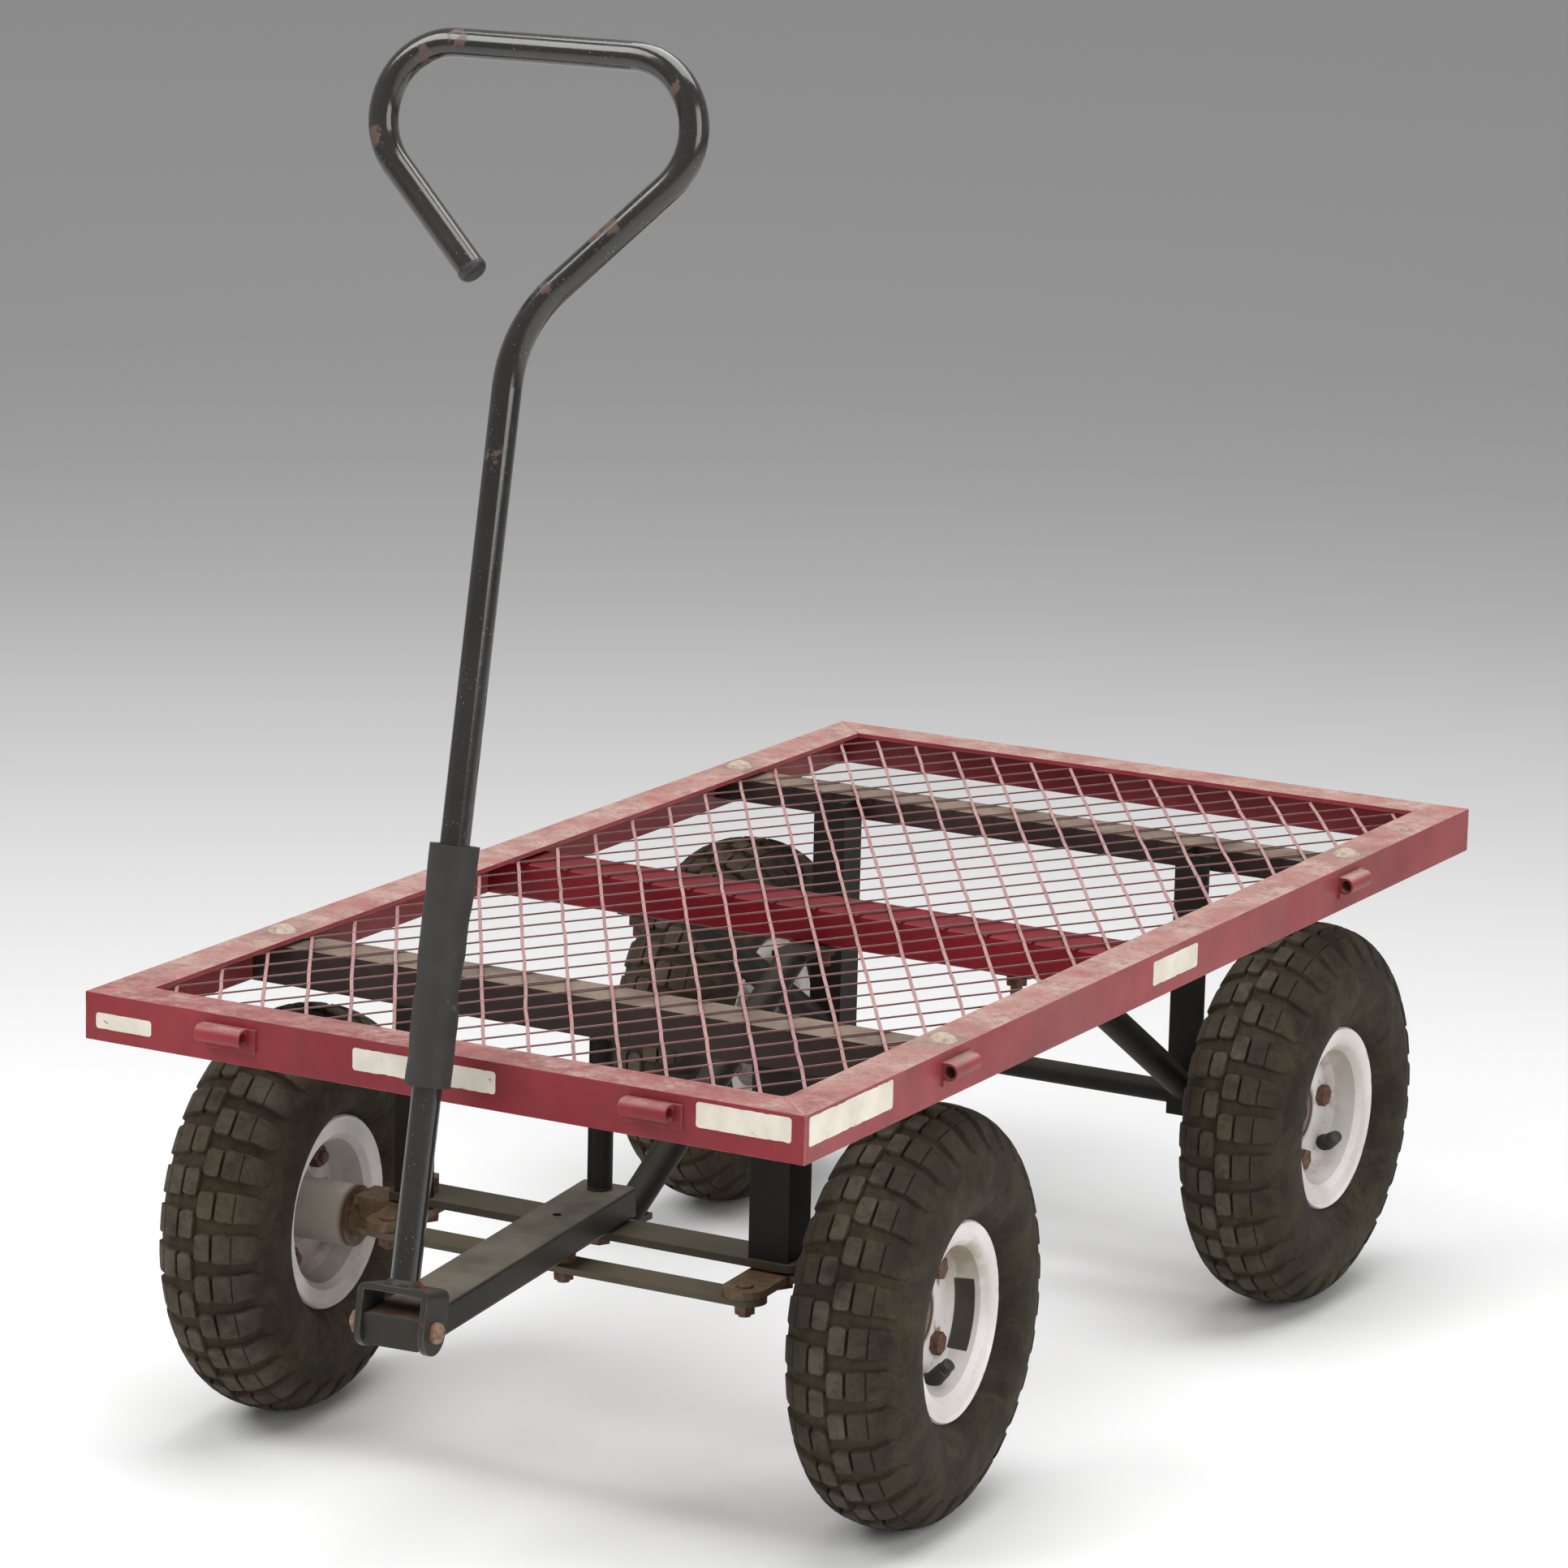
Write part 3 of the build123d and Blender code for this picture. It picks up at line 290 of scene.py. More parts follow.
red_paint = paint(
    "red_paint", srgb(122, 27, 38), srgb(144, 45, 52), srgb(160, 135, 126), 0.97, 0.71, 0.79, 0.45,
    edge=srgb(164, 112, 108), spec=0.25, haze=0.20,
    spots=[
        (FRONT_FLANGE, 0.030, 0.060, srgb(126, 74, 74)), (CARRIAGE_BOLTS, 0.008, 0.034, srgb(112, 92, 82)),
    ],
)
# Middle cross tube: a darker, deeper copy of the red paint, partly painted shade from the mesh above it; its
# dark dust colour paints the mesh's shadow on its top
shaded_crimson_paint = paint(
    "shaded_crimson_paint", srgb(104, 6, 22), srgb(126, 16, 30), srgb(72, 24, 26), 0.6, 0.74, 0.80, 0.38
)
charcoal_paint = paint(
    "charcoal_paint", srgb(24, 22, 18), srgb(35, 32, 27), srgb(68, 62, 53), 0.5, 0.74, 0.82, 0.5,
    edge=srgb(58, 52, 44), spec=0.12,
)
cross_paint = paint(
    "cross_paint", srgb(38, 27, 24), srgb(54, 40, 35), srgb(120, 106, 93), 0.9, 0.70, 0.80, 0.5,
    edge=srgb(58, 52, 44),
)
tongue_paint = paint(
    "tongue_paint", srgb(36, 35, 30), srgb(50, 48, 41), srgb(98, 92, 81), 0.85, 0.74, 0.82, 0.42,
    edge=srgb(96, 94, 86), spots=[(TONGUE_TIP, 0.008, 0.032, srgb(74, 46, 32))],
)
clevis_paint = paint(
    "clevis_paint", srgb(36, 38, 33), srgb(52, 52, 46), srgb(66, 60, 50), 0.6, 0.60, 0.72, 0.40,
    edge=srgb(112, 114, 106), spec=0.25,
)
# Front axle bar: a darker copy of the tie bar's paint, painted shade from the deck above it
shaded_axle_bar_paint = paint(
    "shaded_axle_bar_paint", srgb(60, 56, 45), srgb(76, 70, 57), srgb(72, 66, 53), 0.6, 0.66, 0.76, 0.55,
    edge=srgb(96, 78, 56),
)
bar_paint = paint(
    "bar_paint", srgb(76, 70, 56), srgb(95, 87, 71), srgb(88, 80, 65), 0.6, 0.66, 0.76, 0.55,
    edge=srgb(108, 88, 62),
)


def handle_gloss():
    """Smooth black paint with hairline scratches, and rust where the tube was bent."""
    n = Nodes("handle_paint")
    colour = n.mix(n.ramp(n.noise(11.0), 0.35, 0.7), srgb(23, 22, 19), srgb(38, 36, 31))
    drawn_out = n.vector("MULTIPLY", n.place, (420.0, 420.0, 14.0))
    scratch = n.ramp(n.noise(1.0, 5.0, 0.6, 0.0, drawn_out), 0.68, 0.74)
    colour = n.mix(n.math("MULTIPLY", scratch, 0.35), colour, srgb(110, 104, 96))
    speck = n.math("MULTIPLY", n.ramp(n.cells(330.0), 0.16, 0.08), n.ramp(n.noise(45.0, 5.0), 0.45, 0.60))
    colour = n.mix(n.math("MULTIPLY", speck, 0.8), colour, srgb(132, 126, 112))
    chip = n.ramp(n.noise(190.0, 6.0, 0.7), 0.71, 0.75)
    blister = n.ramp(n.noise(120.0, 6.0, 0.65), 0.44, 0.54)
    rust = n.math("MULTIPLY", n.near(RUST_SPOTS, 0.0, 0.0085), blister)
    rust = n.math("MAXIMUM", n.math("MULTIPLY", chip, 0.7), n.ramp(rust, 0.12, 0.34))
    colour = n.mix(rust, colour, n.mix(n.noise(240.0), srgb(58, 40, 32), srgb(92, 66, 53)))
    n.bump(n.math("ADD", n.noise(300.0, 3.0), rust), 0.06)
    n.bsdf.inputs["Coat Weight"].default_value = 0.4
    n.bsdf.inputs["Coat Roughness"].default_value = 0.10
    return n.done(colour, n.math("ADD", n.ramp(n.noise(60.0), -0.25, 4.2), n.math("MULTIPLY", rust, 0.5)))


def rim_paint(name, side, place, low_darkening, brown):
    """White paint on a wheel's rim halves: darker towards the bottom, a brown dish, grease on the hub's
    ends.
    """
    n = Nodes(name)
    axle = place.to_3x3() @ Vector((1, 0, 0))
    from_centre = n.from_point(place.translation)
    radius = n.vector("LENGTH", n.vector("CROSS_PRODUCT", from_centre, tuple(axle)))
    outboard = n.vector("DOT_PRODUCT", from_centre, tuple(axle * side))
    height = n.part(from_centre, "Z")
    colour = n.mix(n.ramp(n.noise(16.0), 0.35, 0.7), srgb(226, 222, 220), srgb(206, 200, 196))
    # Patchy darkening towards the bottom of the rim
    low = n.math("ADD", n.ramp(height, 0.030, -0.045), 0.15)
    darker_low = n.math("MULTIPLY", n.math("MULTIPLY", n.ramp(n.noise(13.0, 5.0, 0.6), 0.26, 0.56), low_darkening), low)
    colour = n.mix(darker_low, colour, srgb(132, 122, 110))
    dish = n.ramp(n.math("ABSOLUTE", n.math("SUBTRACT", radius, RIM_DISH_R)), 0.012, 0.003)
    high = n.ramp(height, -0.020, 0.030)
    stain = n.math("MULTIPLY", n.math("MULTIPLY", dish, high), n.ramp(n.noise(26.0, 6.0, 0.6), 0.32, 0.56))
    colour = n.mix(n.math("MULTIPLY", stain, brown), colour, srgb(132, 116, 84))
    bolts = n.ramp(n.math("ABSOLUTE", n.math("SUBTRACT", radius, RIM_BOLT_R)), 0.013, 0.004)
    seep = n.math("MULTIPLY", bolts, n.ramp(n.noise(62.0, 7.0, 0.7), 0.54, 0.64))
    colour = n.mix(seep, colour, srgb(120, 72, 44))
    hub = n.ramp(radius, HUB_R + 0.0005, HUB_R - 0.0005)
    hub = n.math("MULTIPLY", hub, n.ramp(n.noise(40.0, 6.0), 0.10, 0.45))
    colour = n.mix(n.math("MULTIPLY", hub, 0.85), colour, srgb(150, 140, 127))
    ends = n.math("MAXIMUM", n.ramp(outboard, 0.0024, 0.0028), n.ramp(outboard, -0.0400, -0.0440))
    grease = n.math("MULTIPLY", n.ramp(radius, HUB_R, HUB_R - 0.0008), ends)
    colour = n.mix(grease, colour, n.mix(n.noise(150.0, 5.0), srgb(46, 36, 28), srgb(92, 62, 40)))
    chip = n.math("MULTIPLY", n.edge(0.0016), n.ramp(n.noise(120.0, 6.0, 0.7), 0.52, 0.62))
    colour = n.mix(chip, colour, srgb(104, 62, 42))
    n.bump(n.noise(380.0, 3.0), 0.08)
    return n.done(colour, n.ramp(n.noise(50.0), -0.6, 1.6))


def mesh_metal():
    """The deck's strands: pink faded tops, painted shade on the sides that don't look up, and patchy grime.
    """
    n = Nodes("mesh_paint")
    colour = n.mix(n.ramp(n.noise(14.0), 0.35, 0.7), srgb(144, 104, 102), srgb(164, 126, 122))
    # Painted shade: the strands' sides, which don't look up, are darkened
    side = n.ramp(n.part(n.normal, "Z"), 0.80, 0.2)
    colour = n.mix(n.math("MULTIPLY", side, 0.9), colour, srgb(84, 46, 46))
    grime = n.ramp(n.noise(60.0, 6.0, 0.7), 0.5, 0.75)
    colour = n.mix(n.math("MULTIPLY", grime, 0.4), colour, srgb(104, 76, 70))
    n.bump(n.noise(500.0), 0.1)
    return n.done(colour, n.ramp(n.noise(80.0), 0.0, 1.6))


def rusty_steel(name, plate, rust, pit, spots=()):
    """Plated fasteners that have rusted."""
    n = Nodes(name)
    patch = n.ramp(n.noise(120.0, 6.0, 0.7), 0.3, 0.62)
    colour = n.mix(patch, plate, rust)
    for points, inner, outer, tint in spots:
        colour = n.mix(n.math("MULTIPLY", n.near(points, inner, outer), 0.8), colour, tint)
    colour = n.mix(n.ramp(n.noise(310.0, 4.0), 0.45, 0.7), colour, pit)
    n.bump(n.noise(600.0, 5.0), 0.3)
    return n.done(colour, n.ramp(patch, -1.0, 1.4), n.math("SUBTRACT", 0.5, patch))


def tyre_rubber():
    """Dusty rubber: earth in the grooves, worn grey on top of the middle blocks."""
    n = Nodes("tyre_rubber")
    base = n.mix(n.noise(16.0, 5.0), srgb(37, 32, 28), srgb(48, 42, 36))
    earth = n.ramp(n.noise(34.0, 7.0, 0.65), 0.40, 0.72)
    base = n.mix(n.math("MULTIPLY", earth, 0.7), base, srgb(68, 59, 42))
    grooves = n.math("MULTIPLY", n.attribute("groove"), n.ramp(n.noise(48.0, 5.0), 0.2, 0.7))
    base = n.mix(n.math("MULTIPLY", grooves, 0.6), base, srgb(64, 54, 40))
    patchy = n.math("MULTIPLY", n.attribute("wear"), n.ramp(n.noise(42.0, 6.0, 0.65), 0.28, 0.68))
    colour = n.mix(n.math("MULTIPLY", patchy, 0.9), base, srgb(90, 82, 71))
    smear = n.ramp(n.noise(22.0, 8.0, 0.7, 0.5), 0.50, 0.66)
    colour = n.mix(n.math("MULTIPLY", smear, 0.5), colour, srgb(78, 69, 50))
    stain = n.ramp(n.noise(150.0, 8.0, 0.75), 0.50, 0.66)
    colour = n.mix(n.math("MULTIPLY", stain, 0.45), colour, srgb(26, 22, 19))
    fleck = n.math("MULTIPLY", n.ramp(n.cells(260.0), 0.10, 0.04), n.ramp(n.noise(20.0), 0.45, 0.6))
    colour = n.mix(n.math("MULTIPLY", fleck, 0.45), colour, srgb(128, 116, 96))
    n.bump(n.math("ADD", n.noise(420.0, 6.0), n.math("MULTIPLY", n.noise(110.0, 8.0, 0.7), 2.0)), 0.45)
    return n.done(colour, n.ramp(n.noise(60.0), -1.6, 1.3), 0.0, 0.12)


def foam():
    """Closed-cell foam with a fine pitted skin and a few scuffs."""
    n = Nodes("foam_skin")
    colour = n.mix(n.noise(28.0), srgb(35, 35, 33), srgb(53, 52, 49))
    scuff = n.ramp(n.noise(70.0, 7.0, 0.7, 0.6), 0.62, 0.74)
    colour = n.mix(n.math("MULTIPLY", scuff, 0.6), colour, srgb(112, 108, 102))
    n.bump(n.cells(900.0), 0.25, 0.0006)
    return n.done(colour, 0.62, 0.0, 0.35)


def black_plastic():
    """Moulded black plastic, dulled by dust."""
    n = Nodes("black_plastic")
    colour = n.mix(n.ramp(n.noise(60.0), 0.4, 0.7), srgb(26, 26, 27), srgb(52, 50, 48))
    n.bump(n.noise(300.0), 0.1)
    return n.done(colour, n.ramp(n.noise(40.0), -0.6, 1.4))


def label_paper():
    """A blank sticker, yellowed and scuffed through in places."""
    n = Nodes("label_paper")
    colour = n.mix(n.ramp(n.noise(40.0), 0.3, 0.7), srgb(222, 216, 204), srgb(196, 188, 174))
    torn = n.ramp(n.noise(120.0, 7.0, 0.7), 0.66, 0.69)
    colour = n.mix(torn, colour, srgb(128, 56, 62))
    return n.done(colour, n.ramp(n.noise(90.0), -0.8, 1.4))


# Floor greys, painted shade that falls off from pale near the wagon to grey behind it, as (share of the way
# from near to far, grey), along a level direction to the back
FLOOR_WAY = (-0.474, 0.880, 0.0)
FLOOR_NEAR, FLOOR_FAR = -0.2, 9.3
FLOOR_SHADE_STOPS = [
    (0.0, 0.76), (0.034, 0.72), (0.065, 0.64), (0.124, 0.55), (0.20, 0.461), (0.30, 0.38), (0.37, 0.372),
    (0.472, 0.40), (0.597, 0.468), (0.763, 0.515), (1.0, 0.54),
]


def floor_paint():
    """A pale studio floor, with painted shade that darkens it to grey far behind the wagon."""
    n = Nodes("floor_paint")
    away = n.ramp(n.vector("DOT_PRODUCT", n.place, FLOOR_WAY), FLOOR_NEAR, FLOOR_FAR)
    colour = n.stops(away, [(place, (grey, grey, grey, 1.0)) for place, grey in FLOOR_SHADE_STOPS])
    return n.done(colour, 0.8, 0.0, 0.1)


mesh_paint = mesh_metal()
handle_paint = handle_gloss()
steel = rusty_steel("rusty_steel", srgb(100, 84, 70), srgb(98, 56, 38), srgb(58, 35, 26))
pale_steel = rusty_steel("pale_rust", srgb(146, 124, 104), srgb(122, 86, 62), srgb(92, 64, 46))
dusty_steel = rusty_steel("dusty_heads", srgb(176, 164, 148), srgb(156, 138, 122), srgb(124, 108, 94))
spindle_steel = rusty_steel(
    "spindle_rust", srgb(99, 88, 60), srgb(90, 65, 38), srgb(66, 52, 33),
    [(KINGPINS, 0.010, 0.030, srgb(122, 70, 36))],
)
# How much each rim darkens towards the bottom, and how brown its dish
RIM_LOW_AND_DISH = {
    "front_left": (0.65, 0.1), "front_right": (0.15, 0.75),
    "rear_left": (0.6, 0.5), "rear_right": (0.3, 0.5),
}
rims = {wheel: rim_paint(f"{wheel}_rim_paint", *WHEELS[wheel], *RIM_LOW_AND_DISH[wheel]) for wheel in WHEELS}
rubber = tyre_rubber()
foam_skin = foam()
plastic = black_plastic()
paper = label_paper()
weld_paint = paint(
    "weld_paint", srgb(30, 32, 32), srgb(46, 46, 44), srgb(70, 64, 56), 0.5, 0.52, 0.66, 0.4,
    edge=srgb(110, 100, 90),
)
bead_paint = paint(
    "bead_paint", srgb(112, 52, 54), srgb(140, 76, 74), srgb(176, 128, 122), 0.7, 0.62, 0.72, 0.5
)
dark_label = paint(
    "dark_label", srgb(54, 49, 43), srgb(82, 76, 66), srgb(84, 78, 68), 0.3, 0.72, 0.80, 0.45,
    edge=srgb(120, 114, 104),
)

SLOT_LOOKS = {
    "red_paint": red_paint,
    "mesh_paint": mesh_paint,
    "charcoal_paint": charcoal_paint,
    "handle_paint": handle_paint,
    "plug": plastic,
    "foam": foam_skin,
    "steel": steel,
    "tyre": rubber,
}
NODE_LOOKS = {
    "middle_cross_tube": shaded_crimson_paint,
    "tongue": tongue_paint,
    "handle_clevis": clevis_paint,
    "front_cross_member": cross_paint,
    "rear_cross_member": cross_paint,
    "front_axle_bar": shaded_axle_bar_paint,
    "tie_bar": bar_paint,
    "left_knuckle": spindle_steel,
    "right_knuckle": spindle_steel,
    "handle_pin": pale_steel,
    "carriage_bolts": dusty_steel,
}
for wheel, look in rims.items():
    NODE_LOOKS[f"{wheel}_outer_rim"] = NODE_LOOKS[f"{wheel}_inner_rim"] = look
for part in frame["record"]["subparts"]:
    look = NODE_LOOKS.get(part["node"]) or SLOT_LOOKS[part["material_slot"]]
    for place in bpy.data.objects[part["node"]].material_slots:
        place.material = look


# Piece helpers
def piece(name, verts, faces, look, body, smooth=None):
    """A new mesh piece that rides on a body."""
    mesh = bpy.data.meshes.new(name)
    mesh.from_pydata([tuple(v) for v in verts], [], faces)
    mesh.validate()
    mesh.materials.append(look)
    if smooth is not None:
        mesh.polygons.foreach_set("use_smooth", [True] * len(mesh.polygons))
        mesh.set_sharp_from_angle(angle=math.radians(smooth))
    mesh.update()
    obj = bpy.data.objects.new(name, mesh)
    bpy.context.scene.collection.objects.link(obj)
    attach(obj, body)
    return obj


def grid_faces(rows, columns, wrap_rows=False, wrap_columns=False):
    """Quads over a grid of points, row by row, joined round where asked."""
    faces = []
    for i in range(rows if wrap_rows else rows - 1):
        for j in range(columns if wrap_columns else columns - 1):
            k, m = (i + 1) % rows, (j + 1) % columns
            faces.append((i * columns + j, k * columns + j, k * columns + m, i * columns + m))
    return faces


# Tyres: on each half a row of middle blocks and a row of lugs that run over the shoulder and
# down the wall, side by side, with the two halves half a pitch apart. Places across the tread
# are measured along the section, from the middle of the crown. EDGE, by which a block's ends lean
# in, and the shares are parts of one pitch.
PITCHES = 30
EDGE = 0.050
PLAIN_SHARE = 0.30
GROOVE_DEPTH, GROOVE_END, GROOVE_RUN_OUT = 0.0034, 0.0560, 0.022
SECTION = [
    (0.0, 0.1325), (0.0130, 0.1310), (0.0230, 0.1270), (0.0305, 0.1203), (0.0365, 0.1100),
    (0.0400, 0.0980), (0.0410, 0.0860), (0.0395, 0.0765), (0.0355, 0.0700), (0.0312, 0.0668),
]
BEAD = [(0.0284, 0.0651), (0.0263, 0.0636), (0.0245, 0.0605), (0.0244, 0.0525)]
CORNER = 0.0030
BLOCK_ROW, BLOCK_SHARE = (0.0009, 0.0117), 0.70
LUG_ROW, LUG_SHARE = (0.0131, 0.0480), 0.76
LUG_CUT, LUG_CUT_HEIGHT = (0.0246, 0.0262), 0.65
LUG_TAIL, LUG_TAIL_LENGTH, LUG_TAPER = 0.0400, 0.0080, 0.55
MIDDLE_TO, WALL_FROM, WEAR_FADE = 0.0125, 0.0500, 0.018
STATIONS = [
    0.0, 0.0009, 0.0013, 0.0020, 0.0034, 0.0063, 0.0092, 0.0106, 0.0113, 0.0117, 0.0124, 0.0131,
    0.0135, 0.0142, 0.0165,
    0.0200, 0.0235, 0.0246, 0.0254, 0.0262, 0.0275, 0.0305, 0.0335, 0.0365, 0.0390, 0.0410, 0.0425,
    0.0440, 0.0455, 0.0470, 0.0485, 0.0500, 0.0520, 0.0550, 0.0590, 0.0640, 0.0690, 0.0740, 0.0790,
    0.0830, 0.0860, 0.0890,
]


def smooth_section():
    """The section as (distance, place) at close steps along a smooth curve through its points."""
    points = [Vector(p) for p in SECTION]
    points = [Vector((-points[1].x, points[1].y))] + points + [Vector(BEAD[0])]
    line, travelled = [(0.0, points[1])], 0.0
    for a, b, c, d in zip(points, points[1:], points[2:], points[3:]):
        for step in range(1, 13):
            t = step / 12
            spot = 0.5 * (2 * b + (c - a) * t + (2 * a - 5 * b + 4 * c - d) * t ** 2
                          + (3 * b - a - 3 * c + d) * t ** 3)
            travelled += (spot - line[-1][1]).length
            line.append((travelled, spot))
    return line


section_line = smooth_section()


def section_at(distance):
    """Place on the section and the way out of it, at a distance from the middle of the crown."""
    for (a, p), (b, q) in zip(section_line, section_line[1:]):
        if distance <= b:
            way = (q - p).normalized()
            return p.lerp(q, (distance - a) / (b - a)), Vector((-way.y, way.x))
    return section_line[-1][1], Vector((1.0, 0.0))


def tread_depth(distance):
    """Groove depth: full on the crown, shallower over the shoulder, none on the wall."""
    return GROOVE_DEPTH * min(1.0, max(0.0, (GROOVE_END - distance) / GROOVE_RUN_OUT))


def corner_share(inset):
    """The share of a pitch that a block's rounded corners take, at a distance from its side."""
    short = max(0.0, CORNER - inset)
    return 2 * (CORNER - math.sqrt(CORNER ** 2 - short ** 2)) / (2 * math.pi * TYRE_R / PITCHES)


def row_at(distance):
    """The share of a pitch that rubber fills at a place across the tread, and its height."""
    if BLOCK_ROW[0] <= distance <= BLOCK_ROW[1]:
        inset = min(distance - BLOCK_ROW[0], BLOCK_ROW[1] - distance)
        return BLOCK_SHARE - corner_share(inset), 0.0 if distance in BLOCK_ROW else 1.0
    if LUG_ROW[0] <= distance <= LUG_ROW[1]:
        tail = max(0.0, (distance - LUG_TAIL) / LUG_TAIL_LENGTH)
        height = LUG_CUT_HEIGHT if LUG_CUT[0] < distance < LUG_CUT[1] else 1.0
        share = LUG_SHARE * (1 - LUG_TAPER * tail ** 2) - 0.6 * corner_share(distance - LUG_ROW[0])
        return share, 0.0 if distance == LUG_ROW[0] else height
    return BLOCK_SHARE - 0.1, 0.0


def tyre_piece(name, side, place):
    """The whole tyre as one closed skin with real blocks."""
    profile = [(1, d) for d in reversed(STATIONS)] + [(-1, d) for d in STATIONS[1:]]
    verts, wear, groove = [], [], []
    worn_to, lug_wear = (0.0480, 0.8) if name == "front_left" else (0.0330, 0.4)
    corners = [(0, 0.0), (1, 0.0), (1, 0.5), (1, 1.0), (0, 1.0)]
    rows = [(lap, half, k) for lap in range(PITCHES) for half in (1, -1) for k in range(len(corners))]

    def add(x, r, angle, worn, deep):
        way = math.cos(angle), math.sin(angle)
        r += 0.0003 * noise.noise((17 * x + 3 * place.translation.y, 40 * way[0], 40 * way[1]))
        spot = Vector((side * x, r * way[0], r * way[1]))
        verts.append(place @ spot)
        wear.append(worn)
        groove.append(deep)

    for lap, phase, k in rows:
        on_top, along = corners[k]
        middle = lap + (0.25 if phase > 0 else 0.75)
        for x, r in reversed(BEAD):
            add(x, r, 2 * math.pi * (middle + (along - 0.5) * PLAIN_SHARE) / PITCHES, 0.0, 0.0)
        for half, distance in profile:
            share, height = row_at(distance)
            if half != phase:
                share, height = PLAIN_SHARE, 0.0
            wavy = 1 + 0.10 * noise.noise((5.3 * lap + 2 * phase, 260 * distance, 4 * side + k))
            reach = (along - 0.5) * share * wavy
            if on_top and along != 0.5:
                reach -= math.copysign(EDGE, along - 0.5)
            worn_down = 0.12 * noise.noise((3.1 * lap, phase, side))
            top = height * on_top * (1 - max(0.0, worn_down))
            depth = tread_depth(distance) * (1 - top)
            spot, out = section_at(distance)
            spot = spot - out * depth
            fade = min(1.0, max(0.0, (worn_to - distance) / WEAR_FADE))
            worn = top * fade * (1.0 if distance < MIDDLE_TO else lug_wear)
            deep = (1 - top) if distance < WALL_FROM else 0.0
            add(half * spot.x, spot.y, 2 * math.pi * (middle + reach) / PITCHES, worn, deep)
        for x, r in BEAD:
            add(-x, r, 2 * math.pi * (middle + (along - 0.5) * PLAIN_SHARE) / PITCHES, 0.0, 0.0)
    faces = grid_faces(len(rows), len(profile) + 2 * len(BEAD), True, True)
    obj = piece(f"{name}_tyre_tread", verts, faces, rubber, f"{name}_wheel", 28)
    for label, values in (("wear", wear), ("groove", groove)):
        layer = obj.data.attributes.new(label, "FLOAT", "POINT")
        layer.data.foreach_set("value", values)
    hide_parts(f"{name}_tyre")


for wheel, (side, place) in WHEELS.items():
    tyre_piece(wheel, side, place)

# Deck mesh: two families of straight strands, tilted as expanded metal is
DIAMONDS_ACROSS, DIAMONDS_ALONG = 14, 18
WINDOW_W, WINDOW_L = DECK_W - 2 * RAIL, DECK_L - 2 * RAIL
PITCH_X, PITCH_Y = WINDOW_W / DIAMONDS_ACROSS, WINDOW_L / DIAMONDS_ALONG
SHEET_INSET = 0.006
SHEET_X, SHEET_Y = DECK_W / 2 - SHEET_INSET, DECK_L / 2 - SHEET_INSET
STRAND_W, STRAND_T = 0.0022, 0.0010
STRAND_SHORTEST, STRAND_STEP, STRAND_WAVE = 0.012, 0.018, 0.0007
TILT = math.radians(10)
mesh_z = DECK_TOP - RAIL_T - MESH_T / 2


def strand_line(family, index):
    """The two ends of a strand inside the sheet: x / PITCH_X + family * y / PITCH_Y = index."""
    ends = []
    for x in (-SHEET_X, SHEET_X):
        y = family * (index - x / PITCH_X) * PITCH_Y
        if abs(y) <= SHEET_Y:
            ends.append(Vector((x, y, 0)))
    for y in (-SHEET_Y, SHEET_Y):
        x = (index - family * y / PITCH_Y) * PITCH_X
        if abs(x) < SHEET_X:
            ends.append(Vector((x, y, 0)))
    return sorted(ends, key=lambda p: p.x)[:2]


def strand(verts, faces, family, index):
    """Add one strand as a long thin bar with a little waviness."""
    ends = strand_line(family, index)
    if len(ends) < 2 or (ends[1] - ends[0]).length < STRAND_SHORTEST:
        return
    along = (ends[1] - ends[0]).normalized()
    flat = Vector((-along.y, along.x, 0))
    wide = flat * math.cos(TILT) + Vector((0, 0, 1)) * math.sin(TILT) * family
    thick = wide.cross(along)
    steps = max(2, int((ends[1] - ends[0]).length / STRAND_STEP))
    first = len(verts)
    for i in range(steps + 1):
        p = ends[0].lerp(ends[1], i / steps)
        p += flat * STRAND_WAVE * noise.noise((30 * p.x, 30 * p.y, family))
        p.y += DECK_Y
        p.z = mesh_z
        for a, b in ((-1, -1), (1, -1), (1, 1), (-1, 1)):
            verts.append(p + wide * a * STRAND_W / 2 + thick * b * STRAND_T / 2)
    for i in range(steps):
        start = first + 4 * i
        for k in range(4):
            m = (k + 1) % 4
            faces.append((start + k, start + m, start + 4 + m, start + 4 + k))
    last = first + 4 * steps
    faces.append((first + 3, first + 2, first + 1, first))
    faces.append((last, last + 1, last + 2, last + 3))


mesh_verts, mesh_faces = [], []
reach = DIAMONDS_ACROSS + DIAMONDS_ALONG
for family in (1, -1):
    for index in range(-reach, reach + 1):
        strand(mesh_verts, mesh_faces, family, index + 0.5)
deck_strands = piece("deck_strands", mesh_verts, mesh_faces, mesh_paint, "deck")
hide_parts("deck_mesh")

# Foam sleeve: slightly wider at the top, with dents as (along, direction, depth)
SLEEVE_FROM, SLEEVE_TO = 0.144, 0.288
SLEEVE_LOW_R, SLEEVE_TOP_R = 0.0138, 0.0148
SLEEVE_BORE_R, SLEEVE_LIP = POLE_R + 0.0003, 0.0004
DENT_SPREAD = 0.008
DENTS = [
    (0.199, 5.6, 0.0024), (0.220, 1.2, 0.0018), (0.256, 3.4, 0.0016), (0.172, 0.4, 0.0016),
    (0.206, 3.3, 0.0026), (0.232, 0.2, 0.0020), (0.244, 0.1, 0.0018), (0.162, 2.2, 0.0014),
    (0.214, 6.1, 0.0016), (0.272, 1.8, 0.0012),
]


